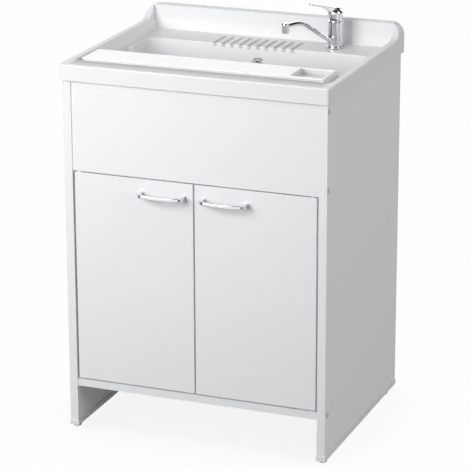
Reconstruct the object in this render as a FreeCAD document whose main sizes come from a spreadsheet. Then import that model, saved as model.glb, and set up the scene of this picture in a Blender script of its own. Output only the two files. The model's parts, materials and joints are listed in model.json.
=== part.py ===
import FreeCAD, Part
import math
import os
import Sketcher
from FreeCAD import Placement, Rotation, Vector

# Utility sink cabinet: a moulded basin with a washboard and a mixer tap on a two-door panel cabinet.
# X runs right, Y runs back and Z runs up. The origin is on the floor, in the middle of the whole object.

doc = FreeCAD.newDocument("sink_cabinet")
sheet = doc.addObject("Spreadsheet::Sheet", "Sizes")


class Size:
    """A length that keeps its sheet expression, so that a sum of sizes stays live in the document."""

    def __init__(self, value, text):
        self.value = float(value)
        self.text = text

    def joined(self, other, sign, value):
        right = other.text if isinstance(other, Size) else repr(other)
        return Size(value, f"({self.text} {sign} {right})")

    def __float__(self):
        return self.value

    def __neg__(self):
        return Size(-self.value, f"(0 - {self.text})")

    def __add__(self, other):
        return self.joined(other, "+", self.value + float(other))

    def __radd__(self, other):
        return self + other

    def __sub__(self, other):
        return self.joined(other, "-", self.value - float(other))

    def __rsub__(self, other):
        return -self + other

    def __mul__(self, share):
        return self.joined(share, "*", self.value * float(share))

    def __rmul__(self, share):
        return self * share

    def __truediv__(self, share):
        return self.joined(share, "/", self.value / float(share))


def size(alias, value):
    """Writes one driving size into the next row of the sheet and returns it."""
    size.row += 1
    sheet.set(f"A{size.row}", alias)
    sheet.set(f"B{size.row}", str(value))
    sheet.setAlias(f"B{size.row}", alias)
    return Size(value, f"Sizes.{alias}")


size.row = 0
ZERO = Size(0, "0")
# How many times a wall's thickness a tool is that passes right through it
drill_share = 3

near_slack = 0.01
parallel_slack = 1e-6
X_AXIS = Vector(1, 0, 0)
Y_AXIS = Vector(0, 1, 0)
Z_AXIS = Vector(0, 0, 1)
ALONG = {
    "x": Rotation(Y_AXIS, 90),
    "y": Rotation(X_AXIS, -90),
    "z": Rotation(),
    "down": Rotation(X_AXIS, 180),
    "front": Rotation(X_AXIS, 90),
    "left": Rotation(Y_AXIS, -90),
}
nodes = []


def node(piece, label):
    """Gives a finished sub-part the name of its node and lists it for the files."""
    piece.Label = label
    nodes.append(piece)
    return piece


# Helpers for primitives and booleans


def bind(piece, **sizes):
    for name, value in sizes.items():
        piece.setExpression(name, value.text)


def place(piece, x=ZERO, y=ZERO, z=ZERO, turn=None):
    """Puts a piece at live coordinates, turned if a rotation is given."""
    if turn:
        piece.Placement = Placement(Vector(), turn)
    for axis, value in zip("xyz", (x, y, z)):
        piece.setExpression(f"Placement.Base.{axis}", value.text)
    return piece


def box(name, x, y, z):
    """A block between two live coordinates on each axis."""
    piece = doc.addObject("Part::Box", name)
    bind(piece, Length=x[1] - x[0], Width=y[1] - y[0], Height=z[1] - z[0])
    return place(piece, x[0], y[0], z[0])


def rod(name, radius, length, x=ZERO, y=ZERO, z=ZERO, along="z"):
    """A round bar that starts at a point and runs along an axis."""
    piece = doc.addObject("Part::Cylinder", name)
    bind(piece, Radius=radius, Height=length)
    return place(piece, x, y, z, ALONG[along])


def fused(name, *pieces):
    piece = doc.addObject("Part::MultiFuse", name)
    piece.Shapes = list(pieces)
    return piece


def cut(name, base, *tools):
    piece = doc.addObject("Part::Cut", name)
    piece.Base = base
    piece.Tool = tools[0] if len(tools) == 1 else fused(name + "_tools", *tools)
    return piece


def group(name, *pieces):
    """Identical loose pieces, kept as separate solids in one node."""
    piece = doc.addObject("Part::Compound", name)
    piece.Links = list(pieces)
    return piece


def chosen(piece, test):
    """The numbers of the edges whose middle point and direction pass a test."""
    doc.recompute()
    found = []
    for number, edge in enumerate(piece.Shape.Edges, 1):
        first, last = edge.ParameterRange
        middle = edge.valueAt((first + last) / 2)
        if test(edge, middle):
            found.append(number)
    if not found:
        raise ValueError(f"no edge to round on {piece.Label}")
    return found


def rounded(name, piece, radius, test):
    """Rounds the edges that a test picks by their place."""
    result = doc.addObject("Part::Fillet", name)
    result.Base = piece
    result.Edges = [(number, float(radius), float(radius)) for number in chosen(piece, test)]
    return result


# Helpers for sketches and bodies


def sketch_in(body, plane, name):
    """A sketch on one of a body's own origin planes."""
    sketch = body.newObject("Sketcher::SketchObject", name)
    support = [f for f in body.Origin.OriginFeatures if f.Role == plane][0]
    sketch.AttachmentSupport = (support, [""])
    sketch.MapMode = "FlatFace"
    return sketch


def fix_point(sketch, line, end, across, up):
    """Ties one end of a line to live coordinates."""
    for kind, axis, value in (("DistanceX", -2, across), ("DistanceY", -1, up)):
        if float(value) == 0:
            sketch.addConstraint(Sketcher.Constraint("PointOnObject", line, end, axis))
        else:
            number = sketch.addConstraint(Sketcher.Constraint(kind, -1, 1, line, end, float(value)))
            sketch.setExpression(f"Constraints[{number}]", value.text)


def outline(sketch, points):
    """A closed run of straight lines through live points."""
    places = [Vector(float(a), float(b), 0) for a, b in points]
    ends = places[1:] + places[:1]
    first = sketch.GeometryCount
    for start, end in zip(places, ends):
        sketch.addGeometry(Part.LineSegment(start, end), False)
    for number in range(len(points)):
        following = (number + 1) % len(points)
        join = Sketcher.Constraint("Coincident", first + number, 2, first + following, 1)
        sketch.addConstraint(join)
    for number, (across, up) in enumerate(points):
        fix_point(sketch, first + number, 1, across, up)
    return sketch


def rounded_rectangle(sketch, x, y, radius):
    """A rectangle between live coordinates with four equal round corners."""
    west, east, south, north, bend = float(x[0]), float(x[1]), float(y[0]), float(y[1]), float(radius)
    corners = [
        (east - bend, north - bend, 0),
        (west + bend, north - bend, 90),
        (west + bend, south + bend, 180),
        (east - bend, south + bend, 270),
    ]
    for a, b, turn in corners:
        circle = Part.Circle(Vector(a, b, 0), Z_AXIS, bend)
        arc = Part.ArcOfCircle(circle, math.radians(turn), math.radians(turn + 90))
        sketch.addGeometry(arc, False)
    lines = []
    for number in range(4):
        here = sketch.Geometry[number]
        following = sketch.Geometry[(number + 1) % 4]
        lines.append(sketch.addGeometry(Part.LineSegment(here.EndPoint, following.StartPoint), False))
    for number, line in enumerate(lines):
        following = (number + 1) % 4
        sketch.addConstraint(Sketcher.Constraint("Tangent", number, 2, line, 1))
        sketch.addConstraint(Sketcher.Constraint("Tangent", line, 2, following, 1))
    sketch.addConstraint(Sketcher.Constraint("Horizontal", lines[0]))
    sketch.addConstraint(Sketcher.Constraint("Vertical", lines[1]))
    sketch.addConstraint(Sketcher.Constraint("Horizontal", lines[2]))
    sketch.addConstraint(Sketcher.Constraint("Vertical", lines[3]))
    for number in (1, 2, 3):
        sketch.addConstraint(Sketcher.Constraint("Equal", 0, number))
    number = sketch.addConstraint(Sketcher.Constraint("Radius", 0, bend))
    sketch.setExpression(f"Constraints[{number}]", radius.text)
    ties = (
        ("DistanceY", lines[0], y[1]),
        ("DistanceX", lines[1], x[0]),
        ("DistanceY", lines[2], y[0]),
        ("DistanceX", lines[3], x[1]),
    )
    for kind, line, value in ties:
        number = sketch.addConstraint(Sketcher.Constraint(kind, -1, 1, line, 1, float(value)))
        sketch.setExpression(f"Constraints[{number}]", value.text)
    return sketch


def turned(name, points, x=ZERO, y=ZERO, z=ZERO, turn=None):
    """A body revolved from a half section of radius and height points."""
    body = doc.addObject("PartDesign::Body", name)
    sketch = outline(sketch_in(body, "XZ_Plane", name + "_section"), points)
    spin = body.newObject("PartDesign::Revolution", name + "_turned")
    spin.Profile = sketch
    spin.ReferenceAxis = (sketch, ["V_Axis"])
    spin.Angle = 360
    return place(body, x, y, z, turn)


def padded(name, plane, points, length, x=ZERO, y=ZERO, z=ZERO, both_ways=False):
    """A body pushed out from a straight-sided outline on one of its own planes."""
    body = doc.addObject("PartDesign::Body", name)
    sketch = outline(sketch_in(body, plane, name + "_outline"), points)
    pad = body.newObject("PartDesign::Pad", name + "_pad")
    pad.Profile = sketch
    pad.SideType = "Symmetric" if both_ways else "One side"
    pad.setExpression("Length", length.text)
    return place(body, x, y, z)


def bent_path(sketch, start, corner, end, bend):
    """Two straight runs joined by a tangent arc, all tied to live coordinates."""
    p0, p1, p2 = [Vector(float(a), float(b), 0) for a, b in (start, corner, end)]
    toward_start = (p0 - p1).normalize()
    toward_end = (p2 - p1).normalize()
    half_angle = toward_start.getAngle(toward_end) / 2
    reach = float(bend) / math.tan(half_angle)
    middle = (toward_start + toward_end).normalize()
    crest = p1 + middle * (float(bend) / math.sin(half_angle) - float(bend))
    t1 = p1 + toward_start * reach
    t2 = p1 + toward_end * reach
    first = sketch.addGeometry(Part.LineSegment(p0, t1), False)
    arc = sketch.addGeometry(Part.Arc(t1, crest, t2), False)
    last = sketch.addGeometry(Part.LineSegment(t2, p2), False)
    mark = sketch.addGeometry(Part.Point(p1), True)
    arc_start = 1 if sketch.Geometry[arc].StartPoint.distanceToPoint(t1) < near_slack else 2
    sketch.addConstraint(Sketcher.Constraint("Tangent", first, 2, arc, arc_start))
    sketch.addConstraint(Sketcher.Constraint("Tangent", arc, 3 - arc_start, last, 1))
    sketch.addConstraint(Sketcher.Constraint("PointOnObject", mark, 1, first))
    sketch.addConstraint(Sketcher.Constraint("PointOnObject", mark, 1, last))
    fix_point(sketch, first, 1, *start)
    fix_point(sketch, mark, 1, *corner)
    fix_point(sketch, last, 2, *end)
    number = sketch.addConstraint(Sketcher.Constraint("Radius", arc, float(bend)))
    sketch.setExpression(f"Constraints[{number}]", bend.text)
    return sketch


def swept(name, start, corner, end, bend, draw_section, x=ZERO, y=ZERO, z=ZERO, turn=None):
    """A body swept along a bent path in the YZ plane, from a section that faces along Y."""
    body = doc.addObject("PartDesign::Body", name)
    path = bent_path(sketch_in(body, "YZ_Plane", name + "_path"), start, corner, end, bend)
    section = sketch_in(body, "XZ_Plane", name + "_section")
    section.setExpression("AttachmentOffset.Base.z", (-start[0]).text)
    draw_section(section)
    pipe = body.newObject("PartDesign::AdditivePipe", name + "_pipe")
    pipe.Profile = section
    pipe.Spine = path
    return place(body, x, y, z, turn)


def round_section(radius, z):
    """Draws a circle at a height in a section sketch."""

    def draw(sketch):
        circle = sketch.addGeometry(Part.Circle(Vector(0, float(z), 0), Z_AXIS, float(radius)), False)
        fix_point(sketch, circle, 3, ZERO, z)
        number = sketch.addConstraint(Sketcher.Constraint("Radius", circle, float(radius)))
        sketch.setExpression(f"Constraints[{number}]", radius.text)

    return draw


def soft_section(half_width, half_height, z, corner):
    """Draws a rectangle with round corners at a height in a section sketch."""
    return lambda sketch: rounded_rectangle(
        sketch, (-half_width, half_width), (z - half_height, z + half_height), corner,
    )


def finished(body, kind, radius, test):
    """Adds a fillet or a chamfer of a live size to the edges that a test picks."""
    edges = [f"Edge{number}" for number in chosen(body.Tip, test)]
    tip = body.Tip
    feature = body.newObject(f"PartDesign::{kind}", f"{body.Name}_{kind.lower()}")
    feature.Base = (tip, edges)
    feature.setExpression("Radius" if kind == "Fillet" else "Size", radius.text)
    return body


def near(value, target):
    return abs(value - float(target)) < near_slack


def lies_along(edge, axis):
    """Tells whether an edge is straight and parallel to an axis."""
    if not isinstance(edge.Curve, Part.Line):
        return False
    return edge.Curve.Direction.cross(axis).Length < parallel_slack


# Overall sizes and the main planes

basin_width = size("basin_width", 600)
basin_depth = size("basin_depth", 500)
rim_height = size("rim_height", 817)
front_overhang = size("front_overhang", 6)
side_overhang = size("side_overhang", 6)
cabinet_depth = size("cabinet_depth", 484)
side_thickness = size("side_thickness", 18)
board_thickness = size("board_thickness", 16)
face_recess = size("face_recess", 2)
snug = size("snug", 0.2)
overrun = size("overrun", 5)

ledge_drop = size("ledge_drop", 24)
shell_wall = size("shell_wall", 4)
splash_rise = size("splash_rise", 33)

handle_stand = size("handle_stand", 26)
handle_bow = size("handle_bow", 6)
handle_bar_depth = size("handle_bar_depth", 5)

cabinet_width = basin_width - side_overhang * 2
half_basin = basin_width / 2
handle_reach = handle_stand + handle_bow + handle_bar_depth / 2
front_y = (handle_reach + front_overhang - face_recess - basin_depth) / 2
face_y = front_y + face_recess
back_y = front_y + cabinet_depth
basin_front = front_y - front_overhang
basin_back = basin_front + basin_depth
half_cabinet = cabinet_width / 2
inner_x = half_cabinet - side_thickness
ledge_z = rim_height - ledge_drop
panel_top = ledge_z - shell_wall

# Cabinet carcass sizes

foot_height = size("foot_height", 6)
foot_radius = size("foot_radius", 9)
foot_rim = size("foot_rim", 1.5)
foot_peg_radius = size("foot_peg_radius", 3.5)
foot_peg_length = size("foot_peg_length", 18)
foot_front_inset = size("foot_front_inset", 15)
foot_back_inset = size("foot_back_inset", 55)
trim_base = size("trim_base", 2)
trim_lip = size("trim_lip", 1.5)
trim_rise = size("trim_rise", 8)
base_underside = size("base_underside", 98)
front_panel_height = size("front_panel_height", 203)
top_rail_height = size("top_rail_height", 100)
low_rail_height = size("low_rail_height", 80)

panel_bottom = foot_height + trim_base
base_top = base_underside + board_thickness
fascia_bottom = panel_top - front_panel_height

# Doors and their pivots

door_gap = size("door_gap", 3)
door_middle_gap = size("door_middle_gap", 3)
door_side_gap = size("door_side_gap", 4)
pivot_inset = size("pivot_inset", 10)
pivot_radius = size("pivot_radius", 2.5)
pivot_running = size("pivot_running", 0.1)
pivot_collar_radius = size("pivot_collar_radius", 5.5)
pivot_end_play = size("pivot_end_play", 0.1)
pivot_reach = size("pivot_reach", 11)
pivot_root_radius = size("pivot_root_radius", 3)
pivot_root_length = size("pivot_root_length", 9)
bush_radius = size("bush_radius", 4)
bush_length = size("bush_length", 14)
bush_flange_radius = size("bush_flange_radius", 6)
bush_flange = size("bush_flange", 1.3)

door_bottom = base_top + door_gap
door_top = fascia_bottom - door_gap
pivot_x = inner_x - door_side_gap - pivot_inset
pivot_y = face_y + board_thickness / 2

# Long panel screws and their caps, and the hidden dowels

screw_radius = size("screw_radius", 2.5)
screw_length = size("screw_length", 50)
screw_head_radius = size("screw_head_radius", 4.5)
screw_head = size("screw_head", 4)
fascia_screw_top_inset = size("fascia_screw_top_inset", 24)
fascia_screw_low_inset = size("fascia_screw_low_inset", 13)
base_screw_inset = size("base_screw_inset", 16)
cap_radius = size("cap_radius", 6)
cap_thickness = size("cap_thickness", 1.2)
cap_peg_radius = size("cap_peg_radius", 1.6)
cap_peg_length = size("cap_peg_length", 2)
socket_depth = size("socket_depth", 2.6)
dowel_radius = size("dowel_radius", 4)
dowel_length = size("dowel_length", 30)
dowel_in_side = size("dowel_in_side", 12)
dowel_inset = size("dowel_inset", 20)

fascia_y = face_y + board_thickness / 2
rail_y = back_y - board_thickness / 2
base_mid_z = base_underside + board_thickness / 2
screw_places = [
    (fascia_y, panel_top - fascia_screw_top_inset),
    (fascia_y, fascia_bottom + fascia_screw_low_inset),
    (front_y + base_screw_inset, base_mid_z),
]
dowel_places = [
    (rail_y, panel_top - dowel_inset),
    (rail_y, panel_top - top_rail_height + dowel_inset),
    (rail_y, base_top + dowel_inset),
    (rail_y, base_top + low_rail_height - dowel_inset),
    (back_y - dowel_inset, base_mid_z),
]
foot_places = [front_y + foot_front_inset, back_y - foot_back_inset]
SIDES = (("left", -1), ("right", 1))

# Brackets between the basin and the side panels

bracket_inset = size("bracket_inset", 14)
bracket_back = size("bracket_back", 420)
bracket_boss_radius = size("bracket_boss_radius", 5)
bracket_boss = size("bracket_boss", 8)
bracket_sheet = size("bracket_sheet", 2)
bracket_width = size("bracket_width", 26)
bracket_drop = size("bracket_drop", 32)
bracket_reach = size("bracket_reach", 24)
bracket_screw_radius = size("bracket_screw_radius", 1.8)
bracket_screw_length = size("bracket_screw_length", 11)
bracket_screw_head_radius = size("bracket_screw_head_radius", 3.6)
bracket_screw_head = size("bracket_screw_head", 1.8)

bracket_x = inner_x - bracket_inset
bracket_top = panel_top - bracket_boss
bracket_y = basin_front + bracket_back
bracket_screw_share = 0.6
bracket_side_z = bracket_top - bracket_drop * bracket_screw_share
bracket_bite = bracket_screw_length - bracket_sheet


def side_rods(name, side, radius, far, near_end, places):
    """Round holes or bars that run in X through a list of places beside one side panel."""
    rods = []
    for number, (y, z) in enumerate(places):
        if side > 0:
            rods.append(rod(f"{name}_{number}", radius, far - near_end, near_end, y, z, "x"))
        else:
            rods.append(rod(f"{name}_{number}", radius, far - near_end, -near_end, y, z, "left"))
    return rods


def mirrored_x(side, low, high):
    """A span of X on the right, or its mirror on the left."""
    return (low, high) if side > 0 else (-high, -low)


def side_panel(name, side):
    """One side panel, drilled for screws, dowels and foot pegs."""
    board = box(
        name + "_board", mirrored_x(side, inner_x, half_cabinet), (front_y, back_y),
        (panel_bottom, panel_top),
    )
    holes = side_rods(
        name + "_hole", side, screw_radius + snug, half_cabinet + overrun, inner_x - overrun,
        screw_places,
    )
    holes += side_rods(
        name + "_sink", side, screw_head_radius + snug, half_cabinet + overrun, half_cabinet - screw_head,
        screw_places
    )
    holes += side_rods(
        name + "_dowel_hole", side, dowel_radius + snug, inner_x + dowel_in_side + snug,
        inner_x - overrun, dowel_places
    )
    holes += side_rods(
        name + "_bracket_hole", side, bracket_screw_radius + snug, inner_x + bracket_bite + snug,
        inner_x - overrun,
        [(bracket_y, bracket_side_z)],
    )
    middle = (half_cabinet - side_thickness / 2) * side
    for number, y in enumerate(foot_places):
        peg = rod(
            f"{name}_peg_{number}", foot_peg_radius + snug, foot_peg_length + snug, middle, y,
            foot_height,
        )
        holes.append(peg)
    return node(cut(name, board, *holes), name)


def bottom_trim(name, side):
    """The moulded cap that wraps the lower edge of a side panel."""
    span = mirrored_x(side, inner_x - trim_lip, half_cabinet + trim_lip)
    outside = box(
        name + "_outside", span, (front_y - trim_lip, back_y + trim_lip),
        (foot_height, panel_bottom + trim_rise),
    )
    inside_x = mirrored_x(side, inner_x, half_cabinet)
    inside = box(
        name + "_inside", inside_x, (front_y, back_y),
        (panel_bottom, panel_bottom + trim_rise + overrun),
    )
    middle = (half_cabinet - side_thickness / 2) * side
    tools = [inside]
    for number, y in enumerate(foot_places):
        peg = rod(f"{name}_peg_{number}", foot_peg_radius + snug, panel_bottom + overrun, middle, y, ZERO)
        tools.append(peg)
    return node(cut(name, outside, *tools), name)


def glide_foot(name, side, y):
    """A round glide with a chamfered sole and a peg that is driven up into the panel."""
    points = [
        (ZERO, ZERO),
        (foot_radius - foot_rim, ZERO),
        (foot_radius, foot_rim),
        (foot_radius, foot_height),
        (foot_peg_radius, foot_height),
        (foot_peg_radius, foot_height + foot_peg_length),
        (ZERO, foot_height + foot_peg_length),
    ]
    return node(turned(name, points, (half_cabinet - side_thickness / 2) * side, y), name)


for side_name, side in SIDES:
    side_panel(f"{side_name}_side_panel", side)
    bottom_trim(f"{side_name}_bottom_trim", side)
    glide_foot(f"{side_name}_front_foot", side, foot_places[0])
    glide_foot(f"{side_name}_rear_foot", side, foot_places[1])


def between_sides(name, y, z, screws, dowels, extra=()):
    """A board that fits between the side panels, with its end holes."""
    board = box(name + "_board", (-inner_x, inner_x), y, z)
    holes = list(extra)
    for side_name, side in SIDES:
        holes += side_rods(
            f"{name}_{side_name}_screw", side, screw_radius + snug, half_cabinet,
            half_cabinet - screw_length - snug, screws
        )
        holes += side_rods(
            f"{name}_{side_name}_dowel", side, dowel_radius + snug,
            inner_x + dowel_in_side, inner_x + dowel_in_side - dowel_length - snug, dowels,
        )
    return node(cut(name, board, *holes), name)


def pivot_holes(name, z, along):
    """Drilled seats for the roots of the two pivot pins."""
    return [
        rod(
            f"{name}_{side_name}", pivot_root_radius + snug, pivot_root_length + snug, pivot_x * side,
            pivot_y, z, along,
        )
        for side_name, side in SIDES
    ]


# Magnetic catch on the back of the fixed front panel

catch_half_width = size("catch_half_width", 24)
catch_depth = size("catch_depth", 14)
catch_seat = size("catch_seat", 16)
catch_jaw = size("catch_jaw", 14)
catch_set_back = size("catch_set_back", 2.2)
magnet_width = size("magnet_width", 14)
magnet_height = size("magnet_height", 5)
magnet_depth = size("magnet_depth", 8)
magnet_proud = size("magnet_proud", 0.4)
catch_screw_radius = size("catch_screw_radius", 1.7)
catch_screw_length = size("catch_screw_length", 24)
catch_screw_head_radius = size("catch_screw_head_radius", 3.4)
catch_screw_head = size("catch_screw_head", 1.8)
strike_width = size("strike_width", 18)
strike_height = size("strike_height", 11)
strike_thickness = size("strike_thickness", 1.2)
strike_spike_radius = size("strike_spike_radius", 1.1)
strike_spike_length = size("strike_spike_length", 7)
strike_edge = size("strike_edge", 2)

board_back = face_y + board_thickness
catch_screw_x = catch_half_width / 2
catch_screw_z = fascia_bottom + catch_seat / 2
catch_back = board_back + catch_depth


def catch_rods(name, radius, start, length, along="front"):
    return [
        rod(f"{name}_{side_name}", radius, length, catch_screw_x * side, start, catch_screw_z, along)
        for side_name, side in SIDES
    ]


catch_pilot = catch_screw_length - catch_depth + snug
fascia_drill = pivot_holes("fascia_pivot_hole", fascia_bottom, "z")
fascia_drill += catch_rods("fascia_catch_hole", catch_screw_radius + snug, board_back, catch_pilot)
between_sides(
    "front_panel", (face_y, board_back), (fascia_bottom, panel_top), screw_places[:2], [], fascia_drill,
)
between_sides(
    "base_panel", (face_y, back_y), (base_underside, base_top), screw_places[2:], dowel_places[4:],
    pivot_holes("base_pivot_hole", base_top, "down"),
)
between_sides(
    "rear_top_rail", (back_y - board_thickness, back_y), (panel_top - top_rail_height, panel_top), [],
    dowel_places[:2]
)
between_sides(
    "rear_bottom_rail", (back_y - board_thickness, back_y), (base_top, base_top + low_rail_height), [],
    dowel_places[2:4]
)


def panel_screw(name, side, y, z):
    """A long panel screw with a pointed tip and a socket in its head."""
    socket_radius = cap_peg_radius + snug
    points = [
        (ZERO, ZERO),
        (screw_radius, screw_radius),
        (screw_radius, screw_length - screw_head),
        (screw_head_radius, screw_length - screw_head),
        (screw_head_radius, screw_length),
        (socket_radius, screw_length),
        (socket_radius, screw_length - socket_depth),
        (ZERO, screw_length - socket_depth),
    ]
    turn = ALONG["x"] if side > 0 else ALONG["left"]
    return turned(name, points, (half_cabinet - screw_length) * side, y, z, turn)


def screw_cap(name, side, y, z):
    """A plastic cap whose peg sits in the socket of a panel screw."""
    points = [
        (ZERO, -cap_peg_length),
        (cap_peg_radius, -cap_peg_length),
        (cap_peg_radius, ZERO),
        (cap_radius, ZERO),
        (cap_radius, cap_thickness / 2),
        (cap_radius - cap_thickness, cap_thickness),
        (ZERO, cap_thickness),
    ]
    turn = ALONG["x"] if side > 0 else ALONG["left"]
    return turned(name, points, half_cabinet * side, y, z, turn)


panel_screws = []
screw_caps = []
panel_dowels = []
for side_name, side in SIDES:
    for number, (y, z) in enumerate(screw_places):
        panel_screws.append(panel_screw(f"{side_name}_panel_screw_{number}", side, y, z))
        screw_caps.append(screw_cap(f"{side_name}_screw_cap_{number}", side, y, z))
    dowel_end = inner_x + dowel_in_side
    panel_dowels += side_rods(
        f"{side_name}_dowel", side, dowel_radius, dowel_end, dowel_end - dowel_length, dowel_places
    )
node(group("panel_screw_group", *panel_screws), "panel_screws")
node(group("screw_cap_group", *screw_caps), "screw_caps")
node(group("panel_dowel_group", *panel_dowels), "panel_dowels")

# Pivot pins in the panels, one pair above the doors and one pair below

pivot_collar = door_gap - bush_flange - pivot_end_play
pivot_points = [
    (ZERO, ZERO),
    (pivot_root_radius, ZERO),
    (pivot_root_radius, pivot_root_length),
    (pivot_collar_radius, pivot_root_length),
    (pivot_collar_radius, pivot_root_length + pivot_collar),
    (pivot_radius, pivot_root_length + pivot_collar),
    (pivot_radius, pivot_root_length + door_gap + pivot_reach),
    (ZERO, pivot_root_length + door_gap + pivot_reach),
]
pivot_ends = (
    ("lower", base_top - pivot_root_length, ALONG["z"]),
    ("upper", fascia_bottom + pivot_root_length, ALONG["down"]),
)
for end_name, z, turn in pivot_ends:
    pins = [
        turned(f"{end_name}_{side_name}_pin", pivot_points, pivot_x * side, pivot_y, z, turn)
        for side_name, side in SIDES
    ]
    node(group(f"{end_name}_pivot_group", *pins), f"{end_name}_pivot_pins")

# The catch: a moulded body, two magnets and two screws

catch_outline = [
    (board_back, fascia_bottom),
    (board_back, fascia_bottom + catch_seat),
    (catch_back, fascia_bottom + catch_seat),
    (catch_back, fascia_bottom - catch_jaw),
    (board_back + catch_set_back, fascia_bottom - catch_jaw),
    (board_back + catch_set_back, fascia_bottom),
]
catch_block = padded("catch_block", "YZ_Plane", catch_outline, catch_half_width * 2, both_ways=True)
magnet_front = board_back + catch_set_back - magnet_proud
magnet_z = fascia_bottom - catch_jaw / 2


def magnet_box(name, side, spare):
    middle = catch_screw_x * side
    across = (middle - magnet_width / 2 - spare, middle + magnet_width / 2 + spare)
    upright = (magnet_z - magnet_height / 2 - spare, magnet_z + magnet_height / 2 + spare)
    return box(name, across, (magnet_front, magnet_front + magnet_depth), upright)


magnet_pockets = [magnet_box(f"{side_name}_magnet_pocket", side, snug) for side_name, side in SIDES]
catch_holes = catch_rods("catch_hole", catch_screw_radius + snug, catch_back, catch_depth)
node(cut("catch_shape", catch_block, *magnet_pockets, *catch_holes), "catch_body")
magnets = [magnet_box(f"{side_name}_magnet", side, ZERO) for side_name, side in SIDES]
node(group("magnet_group", *magnets), "catch_magnets")


def flat_screw(name, shaft, length, head, head_rise, x, y, z, turn):
    """A screw that starts at its tip, with a chamfered cheese head at the far end."""
    points = [
        (ZERO, ZERO),
        (shaft, shaft),
        (shaft, length),
        (head, length),
        (head, length + head_rise / 2),
        (head - head_rise / 2, length + head_rise),
        (ZERO, length + head_rise),
    ]
    return turned(name, points, x, y, z, turn)


catch_screws = [
    flat_screw(
        f"{side_name}_catch_screw", catch_screw_radius, catch_screw_length, catch_screw_head_radius,
        catch_screw_head,
        catch_screw_x * side, catch_back - catch_screw_length, catch_screw_z, ALONG["y"],
    )
    for side_name, side in SIDES
]
node(group("catch_screw_group", *catch_screws), "catch_screws")

# Doors with their handles, bushes and strike plates

door_edge_radius = size("door_edge_radius", 1.2)
handle_spacing = size("handle_spacing", 96)
handle_edge_inset = size("handle_edge_inset", 20.5)
handle_drop = size("handle_drop", 30)
handle_height = size("handle_height", 8)
handle_foot = size("handle_foot", 8)
handle_bend = size("handle_bend", 15)
handle_bow_radius = size("handle_bow_radius", 140)
handle_edge = size("handle_edge", 1.6)
handle_screw_radius = size("handle_screw_radius", 2)
handle_screw_bite = size("handle_screw_bite", 9)
handle_screw_head_radius = size("handle_screw_head_radius", 4)
handle_screw_head = size("handle_screw_head", 2.2)

door_inner = door_middle_gap / 2
door_outer = inner_x - door_side_gap
handle_z = door_top - handle_drop
handle_near = door_inner + handle_edge_inset
handle_middle = handle_near + handle_spacing / 2
handle_crown_share = 1 / 6
handle_posts = (handle_near, handle_near + handle_spacing)
strike_x = catch_screw_x
strike_z = door_top - strike_edge - strike_height / 2
strike_face = board_back + strike_thickness


def door_panel(side_name, side):
    """A door leaf with softened front edges, bush seats, handle holes and a strike seat."""
    name = side_name + "_door"
    leaf = box(
        name + "_leaf", mirrored_x(side, door_inner, door_outer), (face_y, board_back),
        (door_bottom, door_top),
    )
    soft = rounded(name + "_soft", leaf, door_edge_radius, lambda edge, middle: near(middle.y, face_y))
    seats = (("low", door_bottom, "z"), ("high", door_top, "down"))
    tools = [
        rod(
            f"{name}_{end}_seat", bush_radius + snug, bush_length + snug, pivot_x * side, pivot_y, z,
            along,
        )
        for end, z, along in seats
    ]
    for number, x in enumerate(handle_posts):
        hole = rod(
            f"{name}_handle_hole_{number}", handle_screw_radius + snug, board_thickness + overrun * 2,
            x * side, face_y - overrun, handle_z, "y",
        )
        tools.append(hole)
    spike = rod(
        name + "_spike_hole", strike_spike_radius + snug, strike_spike_length + snug,
        strike_x * side, board_back, strike_z, "front",
    )
    return node(cut(name + "_shape", soft, spike, *tools), name)


def bow_handle(side_name, side):
    """A bowed bar whose ends curve back to two feet on the door."""
    name = side_name + "_handle"
    outer_x = handle_spacing / 2 + handle_foot / 2
    inner_edge = outer_x - handle_foot
    half_bar = handle_bar_depth / 2
    crown_x = handle_spacing * handle_crown_share
    points = [
        (-outer_x, ZERO),
        (-outer_x, -handle_stand - half_bar),
        (-crown_x, -handle_stand - handle_bow - half_bar),
        (crown_x, -handle_stand - handle_bow - half_bar),
        (outer_x, -handle_stand - half_bar),
        (outer_x, ZERO),
        (inner_edge, ZERO),
        (inner_edge, -handle_stand + half_bar),
        (crown_x, -handle_stand - handle_bow + half_bar),
        (-crown_x, -handle_stand - handle_bow + half_bar),
        (-inner_edge, -handle_stand + half_bar),
        (-inner_edge, ZERO),
    ]
    body = padded(name + "_bar", "XY_Plane", points, handle_height, both_ways=True)

    def upright_at(x):
        return lambda edge, middle: (
            lies_along(edge, Z_AXIS)
            and near(abs(middle.x), x)
            and not near(middle.y, 0)
        )

    finished(body, "Fillet", handle_bend + handle_bar_depth, upright_at(outer_x))
    finished(body, "Fillet", handle_bend, upright_at(inner_edge))
    finished(body, "Fillet", handle_bow_radius, upright_at(crown_x))
    finished(
        body, "Fillet", handle_edge,
        lambda edge, middle: near(abs(middle.z), handle_height / 2) and not near(middle.y, 0),
    )
    holes = [
        rod(
            f"{name}_hole_{number}", handle_screw_radius + snug, handle_screw_bite + snug + overrun,
            (handle_spacing / 2) * way, overrun, ZERO, "front",
        )
        for number, way in enumerate((-1, 1))
    ]
    shape = cut(name + "_shape", body, *holes)
    return node(place(shape, handle_middle * side, face_y, handle_z), name)


def handle_screws(side_name, side):
    """Two screws that come through the door from inside and pull the handle on."""
    length = board_thickness + handle_screw_bite
    screws = [
        flat_screw(
            f"{side_name}_handle_screw_{number}", handle_screw_radius, length, handle_screw_head_radius,
            handle_screw_head,
            x * side, board_back - length, handle_z, ALONG["y"],
        )
        for number, x in enumerate(handle_posts)
    ]
    return node(group(side_name + "_handle_screw_group", *screws), side_name + "_handle_screws")


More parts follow.
